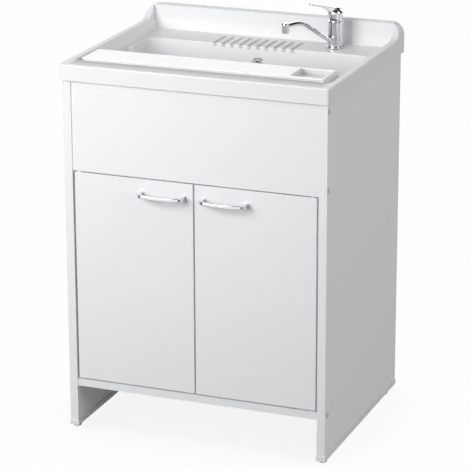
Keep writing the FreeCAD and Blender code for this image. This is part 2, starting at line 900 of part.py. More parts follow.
def pivot_bushes(side_name, side):
    """Flanged bushes in the door's ends, one for each pin."""
    bore = pivot_radius + pivot_running
    points = [
        (bore, ZERO),
        (bush_flange_radius, ZERO),
        (bush_flange_radius, bush_flange),
        (bush_radius, bush_flange),
        (bush_radius, bush_flange + bush_length),
        (bore, bush_flange + bush_length),
    ]
    low = turned(side_name + "_low_bush", points, pivot_x * side, pivot_y, door_bottom - bush_flange)
    high = turned(
        side_name + "_high_bush", points, pivot_x * side, pivot_y, door_top + bush_flange,
        ALONG["down"],
    )
    return node(group(side_name + "_bush_group", low, high), side_name + "_pivot_bushes")


def strike_plate(side_name, side):
    """A steel plate with a spike, pressed into the back of the door for the magnet."""
    name = side_name + "_strike_plate"
    middle = strike_x * side
    across = (middle - strike_width / 2, middle + strike_width / 2)
    plate = box(
        name + "_flat", across, (board_back, strike_face),
        (strike_z - strike_height / 2, strike_z + strike_height / 2),
    )
    spike = rod(name + "_spike", strike_spike_radius, strike_spike_length + strike_thickness / 2,
                middle, board_back + strike_thickness / 2, strike_z, "front")
    return node(fused(name + "_shape", plate, spike), name)


for side_name, side in SIDES:
    door_panel(side_name, side)
    bow_handle(side_name, side)
    handle_screws(side_name, side)
    pivot_bushes(side_name, side)
    strike_plate(side_name, side)

# Basin sizes: depths count down from the top of the rim, and places in Y count back from the
# basin's front

skirt_height = size("skirt_height", 34.5)
splash_thickness = size("splash_thickness", 24)
splash_corner = size("splash_corner", 28)
splash_ease = size("splash_ease", 0.4)
swoop_start = size("swoop_start", 445)
swoop_end = size("swoop_end", 478)
swoop_hollow_radius = size("swoop_hollow_radius", 35)
swoop_crest_radius = size("swoop_crest_radius", 22)
rim_corner = size("rim_corner", 8)
rim_edge = size("rim_edge", 3.5)
front_rim = size("front_rim", 47)
side_rim = size("side_rim", 16)
recess_side_draft = size("recess_side_draft", 7)
recess_front_draft = size("recess_front_draft", 6)
recess_back_draft = size("recess_back_draft", 2)
recess_corner = size("recess_corner", 10)
recess_floor_radius = size("recess_floor_radius", 4)
mouth_edge = size("mouth_edge", 3)
bowl_side_ledge = size("bowl_side_ledge", 16)
bowl_front = size("bowl_front", 62)
bowl_back = size("bowl_back", 388)
bowl_depth = size("bowl_depth", 196)
bowl_draft = size("bowl_draft", 15)
bowl_corner = size("bowl_corner", 34)
bowl_floor_radius = size("bowl_floor_radius", 16)
pocket_side_ledge = size("pocket_side_ledge", 7)
pocket_front = size("pocket_front", 53)
pocket_back = size("pocket_back", 290)
pocket_land_end = size("pocket_land_end", 132)
pocket_land_drop = size("pocket_land_drop", 27.3)
pocket_low_drop = size("pocket_low_drop", 152.3)
rib_thickness = size("rib_thickness", 3)
side_ribs = 5
front_ribs = 6
flutes = 10
flute_first_x = size("flute_first_x", -103)
flute_pitch = size("flute_pitch", 20.2)
flute_radius = size("flute_radius", 5.5)
flute_depth = size("flute_depth", 2.2)
flute_front = size("flute_front", 370)
flute_back = size("flute_back", 450)
flute_pad = size("flute_pad", 3)
tap_hole_radius = size("tap_hole_radius", 17.5)
tap_x = size("tap_x", 160)
tap_back = size("tap_back", 438)
overflow_drop = size("overflow_drop", 63)
overflow_hole_radius = size("overflow_hole_radius", 11)
overflow_boss_radius = size("overflow_boss_radius", 17)
overflow_boss_back = size("overflow_boss_back", 394)
overflow_seat_radius = size("overflow_seat_radius", 15)
overflow_seat = size("overflow_seat", 386.5)
waste_back = size("waste_back", 300)
waste_hole_radius = size("waste_hole_radius", 28)
waste_dish_radius = size("waste_dish_radius", 42)
waste_dish_depth = size("waste_dish_depth", 3)
waste_boss_radius = size("waste_boss_radius", 46)
waste_boss = size("waste_boss", 6)

bowl_half_width = half_basin - side_rim - recess_side_draft - bowl_side_ledge
pocket_half_width = half_basin - side_rim - recess_side_draft - pocket_side_ledge
skirt_z = rim_height - skirt_height
splash_y = basin_back - splash_thickness
splash_top = rim_height + splash_rise
bowl_floor = ledge_z - bowl_depth
tap_y = basin_front + tap_back
overflow_z = rim_height - overflow_drop
waste_y = basin_front + waste_back
waste_seat_z = bowl_floor - waste_dish_depth
waste_boss_z = bowl_floor - shell_wall - waste_boss


def sloped_recess(name, spare, top, bottom):
    """The rim's recess as a wedge that narrows downwards, grown by the wall outside."""
    piece = doc.addObject("Part::Wedge", name)
    recess_top = half_basin - side_rim + spare
    low = recess_top - recess_side_draft
    front = basin_front + front_rim - spare
    bind(
        piece,
        Xmin=-low, Xmax=low, X2min=-recess_top, X2max=recess_top,
        Ymin=bottom, Ymax=top,
        Zmin=-splash_y + recess_back_draft - spare, Zmax=-front - recess_front_draft,
        Z2min=-splash_y - spare, Z2max=-front,
    )
    return place(piece, turn=ALONG["front"])


def bowl_block(name, spare, floor_radius):
    """The drafted bowl, as the space inside it or grown by the wall as its outside."""
    body = doc.addObject("PartDesign::Body", name)
    sketch = sketch_in(body, "XY_Plane", name + "_mouth")
    half = bowl_half_width + spare
    y = (basin_front + bowl_front - spare, basin_front + bowl_back + spare)
    rounded_rectangle(sketch, (-half, half), y, bowl_corner + spare)
    pad = body.newObject("PartDesign::Pad", name + "_drafted")
    pad.Profile = sketch
    pad.Reversed = True
    pad.setExpression("Length", (bowl_depth + spare).text)
    pad.setExpression("TaperAngle", f"atan((0 - {bowl_draft.text}) / {bowl_depth.text})")
    finished(body, "Fillet", floor_radius, lambda edge, middle: near(middle.z, -bowl_depth - spare))
    return place(body, z=ledge_z)


def pocket_block(name, spare, top):
    """The front zone that seats the washboard, with its sloping shoulders."""
    points = [
        (basin_front + pocket_front - spare, top),
        (basin_front + pocket_front - spare, rim_height - pocket_land_drop - spare),
        (basin_front + pocket_land_end, rim_height - pocket_land_drop - spare),
        (basin_front + pocket_back + spare, rim_height - pocket_low_drop - spare * 2),
        (basin_front + pocket_back + spare, top),
    ]
    return padded(name, "YZ_Plane", points, (pocket_half_width + spare) * 2, both_ways=True)


# Rim, skirt and backsplash as one solid with the swept ends

crest_top = splash_top + splash_ease
rim_points = [
    (basin_front, skirt_z),
    (basin_front, rim_height),
    (basin_front + swoop_start, rim_height),
    (basin_front + swoop_end, crest_top),
    (basin_back, crest_top),
    (basin_back, skirt_z),
]
rim_solid = padded("rim_solid", "YZ_Plane", rim_points, basin_width, both_ways=True)
finished(
    rim_solid, "Fillet", swoop_hollow_radius,
    lambda edge, middle: (
        lies_along(edge, X_AXIS)
        and near(middle.y, basin_front + swoop_start)
        and near(middle.z, rim_height)
    ),
)
finished(
    rim_solid, "Fillet", swoop_crest_radius,
    lambda edge, middle: (
        lies_along(edge, X_AXIS)
        and near(middle.y, basin_front + swoop_end)
        and near(middle.z, crest_top)
    ),
)
front_points = [
    (-half_basin, skirt_z),
    (half_basin, skirt_z),
    (half_basin, splash_top),
    (-half_basin, splash_top),
]
front_form = padded("front_form", "XZ_Plane", front_points, basin_depth * 2, both_ways=True)
finished(
    front_form, "Fillet", splash_corner,
    lambda edge, middle: lies_along(edge, Y_AXIS) and near(middle.z, splash_top),
)
swept_rim = doc.addObject("Part::MultiCommon", "swept_rim")
swept_rim.Shapes = [rim_solid, front_form]
cornered_rim = rounded(
    "cornered_rim", swept_rim, rim_corner,
    lambda edge, middle: lies_along(edge, Z_AXIS) and near(abs(middle.x), half_basin),
)
soft_rim = rounded(
    "soft_rim", cornered_rim, rim_edge,
    lambda edge, middle: (
        lies_along(edge, X_AXIS)
        and near(middle.y, basin_front)
        and near(middle.z, rim_height)
    ),
)

# Hollows under the rim and the backsplash

inner_y = (basin_front + shell_wall, basin_back - shell_wall)
skirt_inner_x = half_basin - shell_wall
under_rim = box(
    "under_rim", (-skirt_inner_x, skirt_inner_x), inner_y, (skirt_z - overrun, rim_height - shell_wall),
)
under_rim_soft = rounded(
    "under_rim_soft", under_rim, rim_corner - shell_wall, lambda edge, middle: lies_along(edge, Z_AXIS),
)
splash_inner_x = half_basin - splash_corner
under_splash = box(
    "under_splash", (-splash_inner_x, splash_inner_x), (splash_y + shell_wall, basin_back - shell_wall),
    (rim_height - shell_wall - overrun, splash_top - shell_wall),
)
hollow_rim = cut("hollow_rim", soft_rim, under_rim_soft, under_splash)

# Ribs that rest on the cabinet, the thicker floor under the flutes, and the bosses

deck_underside = ledge_z - shell_wall
rib_z = (deck_underside, rim_height - shell_wall)
rib_inner_x = half_basin - side_rim + shell_wall - recess_side_draft
extras = []
for side_name, side in SIDES:
    for number in range(side_ribs):
        y = basin_front + front_rim + (swoop_start - front_rim) * ((number + 0.5) / side_ribs)
        spans = (
            mirrored_x(side, rib_inner_x, skirt_inner_x),
            (y - rib_thickness / 2, y + rib_thickness / 2),
        )
        extras.append(box(f"{side_name}_rib_{number}", *spans, rib_z))
    boss = rod(
        f"{side_name}_bracket_boss", bracket_boss_radius, bracket_boss, bracket_x * side,
        basin_front + bracket_back,
        deck_underside - bracket_boss,
    )
    extras.append(boss)
for number in range(front_ribs):
    x = inner_x * ((number + 0.5) * 2 / front_ribs - 1)
    spans = ((x - rib_thickness / 2, x + rib_thickness / 2), (inner_y[0], basin_front + front_rim))
    extras.append(box(f"front_rib_{number}", *spans, rib_z))
flute_last_x = flute_first_x + flute_pitch * (flutes - 1)
flute_pad_x = (flute_first_x - flute_pitch / 2, flute_last_x + flute_pitch / 2)
flute_pad_y = (basin_front + bowl_back, basin_front + flute_back + flute_radius + shell_wall)
extras.append(box("flute_pad", flute_pad_x, flute_pad_y, (deck_underside - flute_pad, deck_underside)))
overflow_length = overflow_boss_back - overflow_seat
extras.append(
    rod(
        "overflow_boss", overflow_boss_radius, overflow_length, ZERO, basin_front + overflow_seat,
        overflow_z, "y",
    )
)
extras.append(rod("waste_boss", waste_boss_radius, shell_wall + waste_boss, ZERO, waste_y, waste_boss_z))

outer_recess = sloped_recess("outer_recess", shell_wall, rim_height - shell_wall, deck_underside)
outer_bowl = bowl_block("outer_bowl", shell_wall, bowl_floor_radius + shell_wall)
outer_pocket = pocket_block("outer_pocket", shell_wall, ledge_z)
full_basin = fused("full_basin", hollow_rim, outer_recess, outer_bowl, outer_pocket, *extras)

# What is taken out: the recess, the bowl, the washboard's seat, the flutes and the holes

recess_wedge = sloped_recess("recess_wedge", ZERO, rim_height, ledge_z)
recess_cornered = rounded(
    "recess_cornered", recess_wedge, recess_corner,
    lambda edge, middle: (
        middle.y < float(basin_front + front_rim * 2)
        and not near(edge.Vertexes[0].Z, edge.Vertexes[1].Z)
    ),
)
inner_recess = rounded(
    "inner_recess", recess_cornered, recess_floor_radius, lambda edge, middle: near(middle.z, ledge_z)
)
recess_half = half_basin - side_rim
over_rim = box(
    "over_rim", (-recess_half, recess_half), (basin_front + front_rim, splash_y),
    (rim_height, splash_top + overrun)
)
inner_bowl = bowl_block("inner_bowl", ZERO, bowl_floor_radius)
inner_pocket = pocket_block("inner_pocket", ZERO, ledge_z + overrun)
open_basin = cut("open_basin", full_basin, inner_recess, over_rim, inner_bowl, inner_pocket)


def at_mouth(edge, middle):
    """The inner edge of the rim, and the bowl's mouth behind the washboard."""
    across = abs(middle.x)
    back = middle.y - float(basin_front)
    if near(middle.z, ledge_z):
        return (
            float(pocket_land_end) < back < float(bowl_back) + near_slack
            and across < float(bowl_half_width) + near_slack
        )
    return (
        near(middle.z, rim_height)
        and across < float(recess_half) + near_slack
        and float(rim_corner) < back < float(swoop_start)
    )


eased_basin = rounded("eased_basin", open_basin, mouth_edge, at_mouth)
spaces = []
flute_z = ledge_z + flute_radius - flute_depth
for number in range(flutes):
    x = flute_first_x + flute_pitch * number
    start = basin_front + flute_front
    groove = rod(f"flute_{number}", flute_radius, flute_back - flute_front, x, start, flute_z, "y")
    groove_end = doc.addObject("Part::Sphere", f"flute_end_{number}")
    bind(groove_end, Radius=flute_radius)
    place(groove_end, x, basin_front + flute_back, flute_z, ALONG["y"])
    spaces += [groove, groove_end]
spaces += [
    rod("tap_hole", tap_hole_radius, shell_wall + overrun * 2, tap_x, tap_y, ledge_z + overrun, "down"),
    rod(
        "overflow_hole", overflow_hole_radius, shell_wall * drill_share * 2, ZERO,
        basin_front + bowl_back - shell_wall * drill_share, overflow_z, "y",
    ),
    rod(
        "overflow_face", overflow_seat_radius, shell_wall * drill_share, ZERO,
        basin_front + overflow_seat, overflow_z, "front",
    ),
    rod("waste_hole", waste_hole_radius, waste_boss * drill_share, ZERO, waste_y, waste_boss_z - overrun),
    rod("waste_dish", waste_dish_radius, waste_dish_depth + overrun, ZERO, waste_y, waste_seat_z),
]
for side_name, side in SIDES:
    pilot = rod(
        f"{side_name}_bracket_pilot", bracket_screw_radius + snug, bracket_bite + snug + overrun,
        bracket_x * side, bracket_y,
        bracket_top - overrun,
    )
    spaces.append(pilot)
basin = cut("basin_shape", eased_basin, *spaces)
node(basin, "basin")

# Brackets that hold the basin down on the side panels

brackets = []
bracket_screws = []
for side_name, side in SIDES:
    name = side_name + "_bracket"
    y = (bracket_y - bracket_width / 2, bracket_y + bracket_width / 2)
    flat = box(
        name + "_flat", mirrored_x(side, inner_x - bracket_reach, inner_x), y,
        (bracket_top - bracket_sheet, bracket_top),
    )
    upright = box(
        name + "_upright", mirrored_x(side, inner_x - bracket_sheet, inner_x), y,
        (bracket_top - bracket_drop, bracket_top)
    )
    to_side = ALONG["left"] if side > 0 else ALONG["x"]
    holes = [
        rod(
            name + "_up_hole", bracket_screw_radius + snug, bracket_sheet * drill_share, bracket_x * side,
            bracket_y, bracket_top - bracket_sheet * 2,
        ),
        side_rods(name + "_side_hole", side, bracket_screw_radius + snug, inner_x + bracket_sheet,
                  inner_x - bracket_sheet * 2, [(bracket_y, bracket_side_z)])[0],
    ]
    brackets.append(cut(name + "_shape", fused(name + "_angle", flat, upright), *holes))
    screw = (bracket_screw_radius, bracket_screw_length, bracket_screw_head_radius, bracket_screw_head)
    bracket_screws += [
        flat_screw(
            name + "_up_screw", *screw, bracket_x * side, bracket_y, bracket_top + bracket_bite,
            ALONG["down"],
        ),
        flat_screw(
            name + "_side_screw", *screw, (inner_x + bracket_bite) * side, bracket_y, bracket_side_z,
            to_side,
        ),
    ]
node(group("bracket_group", *brackets), "basin_brackets")
node(group("bracket_screw_group", *bracket_screws), "bracket_screws")

# The washboard: a flat landing with a soap recess, and a slope with rubbing ribs

board_side_gap = size("board_side_gap", 2)
board_front = size("board_front", 55)
board_back_edge = size("board_back_edge", 285)
board_rise = size("board_rise", 5)
board_lip = size("board_lip", 5)
board_lip_height = size("board_lip_height", 2.5)
board_wall = size("board_wall", 4)
board_seat_gap = size("board_seat_gap", 0.3)
board_edge = size("board_edge", 1.5)
rub_ribs = 16
rub_rib_radius = size("rub_rib_radius", 2.6)
rub_rib_side = size("rub_rib_side", 30)
rub_rib_margin = size("rub_rib_margin", 16)
soap_tray_inset = size("soap_tray_inset", 6)
soap_tray_width = size("soap_tray_width", 69)
soap_tray_front = size("soap_tray_front", 58)
soap_tray_back = size("soap_tray_back", 128)
soap_tray_depth = size("soap_tray_depth", 13)
soap_tray_wall = size("soap_tray_wall", 2)
soap_tray_corner = size("soap_tray_corner", 6)

board_half_width = pocket_half_width - board_side_gap
rub_rib_half_length = board_half_width - rub_rib_side
board_top = rim_height + board_rise
slope_run = pocket_back - pocket_land_end
slope_fall = pocket_low_drop - pocket_land_drop
slope_share = slope_fall.value / slope_run.value
slope_angle = math.atan(slope_share)
board_y0 = basin_front + board_front
board_y1 = basin_front + pocket_land_end
board_y2 = basin_front + board_back_edge
board_fall = (board_y2 - board_y1) * slope_share
board_seat = rim_height - pocket_land_drop + board_seat_gap
outer_points = [
    (board_y0, board_seat),
    (board_y0, board_top - board_lip_height),
    (board_y0 - board_lip, board_top - board_lip_height),
    (board_y0 - board_lip, board_top),
    (board_y1, board_top),
    (board_y2, board_top - board_fall),
    (board_y2, board_seat - board_fall),
    (board_y1, board_seat),
]
board_solid = padded("board_solid", "YZ_Plane", outer_points, board_half_width * 2, both_ways=True)
finished(
    board_solid, "Fillet", board_edge,
    lambda edge, middle: (
        near(middle.z, board_top)
        or (
            lies_along(edge, X_AXIS)
            and near(middle.y, board_y2)
            and near(middle.z, board_top - board_fall)
        )
        or (
            not lies_along(edge, X_AXIS)
            and not lies_along(edge, Y_AXIS)
            and middle.z > float(board_seat - board_fall / 2)
        )
    ),
)
slope_wall = board_wall / math.cos(slope_angle)
crease_y = board_y1 - (slope_wall - board_wall) / slope_share
hollow_points = [
    (board_y0 + board_wall, board_seat - board_wall * drill_share),
    (board_y0 + board_wall, board_top - board_wall),
    (crease_y, board_top - board_wall),
    (board_y2 - board_wall, board_top - slope_wall - board_fall + board_wall * slope_share),
    (board_y2 - board_wall, board_seat - board_fall - board_wall * drill_share),
]
board_hollow = padded(
    "board_hollow", "YZ_Plane", hollow_points, (board_half_width - board_wall) * 2, both_ways=True,
)
tray_x = (board_half_width - soap_tray_inset - soap_tray_width, board_half_width - soap_tray_inset)
tray_y = (basin_front + soap_tray_front, basin_front + soap_tray_back)


def grown(span, by):
    return (span[0] - by, span[1] + by)


tray_floor = board_top - soap_tray_depth
tray_block = box(
    "tray_block", grown(tray_x, soap_tray_wall), grown(tray_y, soap_tray_wall),
    (tray_floor - soap_tray_wall, board_top - board_wall / 2)
)
tray_space = box("tray_space", tray_x, tray_y, (tray_floor, board_top + overrun))
tray_soft = rounded(
    "tray_soft", tray_space, soap_tray_corner, lambda edge, middle: lies_along(edge, Z_AXIS),
)
rub_rods = []
slope_length = (board_y2 - board_y1) / math.cos(slope_angle)
rub_pitch = (slope_length - rub_rib_margin * 2) / (rub_ribs - 1)
for number in range(rub_ribs):
    along = rub_rib_margin + rub_pitch * number
    y = board_y1 + along * math.cos(slope_angle)
    z = board_top - along * math.sin(slope_angle)
    rub_rods.append(
        rod(f"rub_rib_{number}", rub_rib_radius, rub_rib_half_length * 2, -rub_rib_half_length, y, z, "x")
    )
board_shell = cut("board_shell", board_solid, board_hollow)
board_full = fused("board_full", board_shell, tray_block, *rub_rods)
node(cut("board_shape", board_full, tray_soft), "washboard")

# The mixer tap, drawn pointing to the front and then turned on its axis

tap_rest_turn = Rotation(Z_AXIS, -34)
tap_radius = size("tap_radius", 16.8)
tap_base_radius = size("tap_base_radius", 20)
tap_gasket_thickness = size("tap_gasket_thickness", 1)
tap_gasket_lip = size("tap_gasket_lip", 1.5)
tap_base_foot = size("tap_base_foot", 2)
tap_base_height = size("tap_base_height", 3.5)
swivel_height = size("swivel_height", 21.5)
swivel_gap = size("swivel_gap", 0.2)
swivel_core_radius = size("swivel_core_radius", 12)
swivel_running = size("swivel_running", 0.1)
tap_head_height = size("tap_head_height", 33)
tap_edge = size("tap_edge", 0.8)
cartridge_radius = size("cartridge_radius", 13)
cartridge_height = size("cartridge_height", 25)
stem_radius = size("stem_radius", 5)
stem_running = size("stem_running", 0.1)
stem_depth = size("stem_depth", 15)
bonnet_radius = size("bonnet_radius", 13.2)
bonnet_gap = size("bonnet_gap", 0.3)
bonnet_height = size("bonnet_height", 11.7)
bonnet_rim = size("bonnet_rim", 3)
bonnet_top_radius = size("bonnet_top_radius", 7)
lug_radius = size("lug_radius", 1.9)
lug_half_width = size("lug_half_width", 3.5)
lift_pin_radius = size("lift_pin_radius", 1.2)
lift_pin_half_length = size("lift_pin_half_length", 7.2)
lift_pin_running = size("lift_pin_running", 0.1)
lift_back = size("lift_back", 13.5)
lift_rise = size("lift_rise", 4)
hood_gap = size("hood_gap", 1.2)
hood_wall = size("hood_wall", 2.5)
hood_height = size("hood_height", 29.8)
hood_dome = size("hood_dome", 13)
hood_mouth_back = size("hood_mouth_back", 5)
hood_mouth_rise = size("hood_mouth_rise", 10)
paddle_length = size("paddle_length", 70)
paddle_width = size("paddle_width", 15)
paddle_tip = size("paddle_tip", 3.2)
paddle_tip_rise = size("paddle_tip_rise", 16)
paddle_root_back = size("paddle_root_back", 2)
paddle_root_drop = size("paddle_root_drop", 0.6)
paddle_neck = size("paddle_neck", 36)
paddle_neck_rise = size("paddle_neck_rise", 4.6)
paddle_throat = size("paddle_throat", 23)
paddle_throat_drop = size("paddle_throat_drop", 3.2)
paddle_chin = size("paddle_chin", 13.5)
paddle_chin_drop = size("paddle_chin_drop", 12.5)
paddle_bend = size("paddle_bend", 18)
paddle_end_radius = size("paddle_end_radius", 7)
paddle_edge = size("paddle_edge", 1)
spout_start = size("spout_start", 13)
spout_start_rise = size("spout_start_rise", 11)
spout_corner = size("spout_corner", 92)
spout_corner_rise = size("spout_corner_rise", 64)
spout_reach = size("spout_reach", 134)
spout_end_rise = size("spout_end_rise", 61)
spout_bend = size("spout_bend", 60)
spout_half_width = size("spout_half_width", 7)
spout_half_height = size("spout_half_height", 5.2)
spout_corner_radius = size("spout_corner_radius", 4.4)
nozzle_radius = size("nozzle_radius", 8.3)
nozzle_top = size("nozzle_top", 6.5)
nozzle_drop = size("nozzle_drop", 14)
aerator_radius = size("aerator_radius", 6.8)
aerator_seat = size("aerator_seat", 6)
aerator_length = size("aerator_length", 8)
aerator_rim = size("aerator_rim", 1)
aerator_cup = size("aerator_cup", 2)
shank_radius = size("shank_radius", 16)
shank_length = size("shank_length", 46)
inlet_radius = size("inlet_radius", 4.5)
inlet_depth = size("inlet_depth", 15)
inlet_offset = size("inlet_offset", 8)
tap_washer_radius = size("tap_washer_radius", 24)
tap_washer_thickness = size("tap_washer_thickness", 3)
tap_nut_flats = size("tap_nut_flats", 42)
tap_nut_height = size("tap_nut_height", 10)

tap_base_z = ledge_z + tap_gasket_thickness
swivel_z = tap_base_z + tap_base_height
head_z = swivel_z + swivel_height
seam_z = head_z + tap_head_height
cartridge_z = seam_z - bonnet_gap - cartridge_height
bonnet_z = seam_z + bonnet_gap
hood_z = seam_z + hood_gap
lift_z = seam_z + lift_rise
hood_top = hood_z + hood_height


def at_tap(piece, turned_to_rest=True):
    """Moves a piece drawn on the tap's axis to its place on the drainer."""
    return place(piece, tap_x, tap_y, ZERO, tap_rest_turn if turned_to_rest else None)


gasket_points = [
    (shank_radius + snug, ledge_z),
    (tap_base_radius - tap_gasket_lip, ledge_z),
    (tap_base_radius - tap_gasket_lip, tap_base_z),
    (shank_radius + snug, tap_base_z),
]
node(turned("tap_gasket_ring", gasket_points, tap_x, tap_y), "tap_gasket")
base_points = [
    (swivel_core_radius + snug, tap_base_z),
    (tap_base_radius, tap_base_z),
    (tap_base_radius, tap_base_z + tap_base_foot),
    (tap_radius, swivel_z - tap_edge),
    (tap_radius, swivel_z),
    (swivel_core_radius + snug, swivel_z),
]
node(turned("tap_base_cone", base_points, tap_x, tap_y), "tap_base_ring")
body_points = [
    (ZERO, tap_base_z),
    (swivel_core_radius, tap_base_z),
    (swivel_core_radius, head_z),
    (tap_radius - tap_edge, head_z),
    (tap_radius, head_z + tap_edge),
    (tap_radius, seam_z - tap_edge),
    (tap_radius - tap_edge, seam_z),
    (cartridge_radius + snug, seam_z),
    (cartridge_radius + snug, cartridge_z),
    (ZERO, cartridge_z),
]
node(turned("tap_column", body_points, tap_x, tap_y), "tap_body")
cartridge_top = cartridge_z + cartridge_height
cartridge_points = [
    (ZERO, cartridge_z),
    (cartridge_radius, cartridge_z),
    (cartridge_radius, cartridge_top),
    (stem_radius + stem_running, cartridge_top),
    (stem_radius + stem_running, cartridge_top - stem_depth),
    (ZERO, cartridge_top - stem_depth),
]
node(turned("cartridge_case", cartridge_points, tap_x, tap_y), "tap_cartridge")

shank = rod("shank_bar", shank_radius, shank_length, tap_x, tap_y, tap_base_z, "down")
inlets = [
    rod(f"{side_name}_inlet", inlet_radius, inlet_depth + overrun, tap_x + inlet_offset * side, tap_y,
        tap_base_z - shank_length - overrun)
    for side_name, side in SIDES
]
node(cut("shank_shape", shank, *inlets), "tap_shank")
washer_z = panel_top - tap_washer_thickness
washer_points = [
    (shank_radius + snug, washer_z),
    (tap_washer_radius, washer_z),
    (tap_washer_radius, panel_top),
    (shank_radius + snug, panel_top),
]
node(turned("tap_washer_ring", washer_points, tap_x, tap_y), "tap_washer")


def hexagon(flats):
    """The corners of a nut with two of its flats facing along Y."""
    long_share = 1 / math.sqrt(3)
    half = flats / 2
    return [
        (flats * long_share, ZERO),
        (half * long_share, half),
        (-half * long_share, half),
        (-flats * long_share, ZERO),
        (-half * long_share, -half),
        (half * long_share, -half),
    ]


nut_z = washer_z - tap_nut_height
nut_block = padded(
    "tap_nut_block", "XY_Plane", hexagon(tap_nut_flats), tap_nut_height, tap_x, tap_y, nut_z,
)
nut_bore = rod("tap_nut_bore", shank_radius + snug, tap_nut_height * 2, tap_x, tap_y, nut_z - overrun)
node(cut("tap_nut_shape", nut_block, nut_bore), "tap_nut")

# The spout with its swivel ring, and the aerator in its nozzle

ring_points = [
    (swivel_core_radius + swivel_running, swivel_z + swivel_gap),
    (tap_radius - tap_edge, swivel_z + swivel_gap),
    (tap_radius, swivel_z + swivel_gap + tap_edge),
    (tap_radius, head_z - swivel_gap - tap_edge),
    (tap_radius - tap_edge, head_z - swivel_gap),
    (swivel_core_radius + swivel_running, head_z - swivel_gap),
]
spout_z = swivel_z + spout_start_rise
corner_z = swivel_z + spout_corner_rise
outlet_z = swivel_z + spout_end_rise
spout_arm = swept(
    "spout_arm", (-spout_start, spout_z), (-spout_corner, corner_z), (-spout_reach, outlet_z), spout_bend,
    soft_section(spout_half_width, spout_half_height, spout_z, spout_corner_radius),
)
nozzle = rod(
    "nozzle", nozzle_radius, nozzle_top + nozzle_drop, ZERO, -spout_reach, outlet_z - nozzle_drop,
)
nozzle_edge_share = 4
nozzle_soft = rounded(
    "nozzle_soft", nozzle, tap_edge * nozzle_edge_share,
    lambda edge, middle: near(middle.z, outlet_z + nozzle_top),
)
aerator_hole = rod(
    "aerator_hole", aerator_radius + snug, aerator_seat + overrun, ZERO, -spout_reach,
    outlet_z - nozzle_drop - overrun,
)
spout_parts = fused("spout_parts", turned("spout_ring", ring_points), spout_arm, nozzle_soft)
node(at_tap(cut("spout_shape", spout_parts, aerator_hole)), "spout")
aerator_z = outlet_z - nozzle_drop + aerator_seat - aerator_length
aerator_points = [
    (ZERO, aerator_z + aerator_cup),
    (aerator_radius - aerator_rim, aerator_z + aerator_cup),
    (aerator_radius - aerator_rim, aerator_z),
    (aerator_radius, aerator_z),
    (aerator_radius, aerator_z + aerator_length),
    (ZERO, aerator_z + aerator_length),
]
node(
    at_tap(group("aerator_place", turned("aerator_case", aerator_points, ZERO, -spout_reach))),
    "spout_aerator",
)

# The turning bonnet with its lug and pin, and the lever that tips on the pin

stem_points = [
    (ZERO, cartridge_top - stem_depth + bonnet_gap),
    (stem_radius, cartridge_top - stem_depth + bonnet_gap),
    (stem_radius, bonnet_z),
    (ZERO, bonnet_z),
]
node(turned("stem_bar", stem_points, tap_x, tap_y), "cartridge_stem")
bonnet_points = [
    (ZERO, bonnet_z),
    (bonnet_radius, bonnet_z),
    (bonnet_radius, bonnet_z + bonnet_rim),
    (bonnet_top_radius, bonnet_z + bonnet_height),
    (ZERO, bonnet_z + bonnet_height),
]
bonnet_dome = turned("bonnet_dome", bonnet_points)
lug_eye = rod("lug_eye", lug_radius, lug_half_width * 2, -lug_half_width, lift_back, lift_z, "x")
lug_arm = box(
    "lug_arm", (-lug_half_width, lug_half_width), (bonnet_top_radius, lift_back),
    (lift_z - lug_radius, lift_z + lug_radius),
)
pin_hole = rod(
    "bonnet_pin_hole", lift_pin_radius + snug, lug_half_width * 4, -lug_half_width * 2, lift_back,
    lift_z, "x",
)
bonnet_parts = fused("bonnet_parts", bonnet_dome, lug_eye, lug_arm)
node(at_tap(cut("bonnet_shape", bonnet_parts, pin_hole)), "tap_bonnet")
lift_pin = rod(
    "lift_pin_bar", lift_pin_radius, lift_pin_half_length * 2, -lift_pin_half_length, lift_back, lift_z,
    "x",
)
node(at_tap(group("lift_pin_place", lift_pin)), "lever_pin")

hood = rod("hood", tap_radius, hood_height, z=hood_z)
hood_domed = rounded("hood_domed", hood, hood_dome, lambda edge, middle: near(middle.z, hood_top))
hood_inside = rod(
    "hood_inside", tap_radius - hood_wall, hood_height - hood_wall + overrun, z=hood_z - overrun,
)
hood_hollow = rounded(
    "hood_hollow", hood_inside, hood_dome - hood_wall,
    lambda edge, middle: near(middle.z, hood_top - hood_wall),
)
paddle_points = [
    (-paddle_root_back, hood_top - paddle_root_drop),
    (-paddle_length, hood_top + paddle_tip_rise),
    (-paddle_length, hood_top + paddle_tip_rise - paddle_tip),
    (-paddle_neck, hood_top + paddle_neck_rise),
    (-paddle_throat, hood_top - paddle_throat_drop),
    (-paddle_chin, hood_top - paddle_chin_drop),
    (-paddle_root_back, hood_top - paddle_chin_drop),
]
paddle = padded("paddle", "YZ_Plane", paddle_points, paddle_width, both_ways=True)
finished(
    paddle, "Fillet", paddle_bend,
    lambda edge, middle: (
        lies_along(edge, X_AXIS)
        and (near(middle.y, -paddle_neck) or near(middle.y, -paddle_throat))
    ),
)
finished(
    paddle, "Fillet", paddle_end_radius,
    lambda edge, middle: near(middle.y, -paddle_length) and near(abs(middle.x), paddle_width / 2),
)
finished(
    paddle, "Fillet", paddle_edge,
    lambda edge, middle: middle.y < -float(tap_radius) and (near(abs(middle.x), paddle_width / 2)),
)
mouth_points = [
    (hood_mouth_back, hood_z),
    (-tap_radius - overrun, hood_z + hood_mouth_rise),
    (-tap_radius - overrun, hood_z - overrun),
    (hood_mouth_back, hood_z - overrun),
]
hood_mouth = padded("hood_mouth", "YZ_Plane", mouth_points, tap_radius * drill_share, both_ways=True)
lug_room_share = 0.4
lug_back_share = 1.5
lug_room_half = lug_half_width + lug_radius * lug_room_share
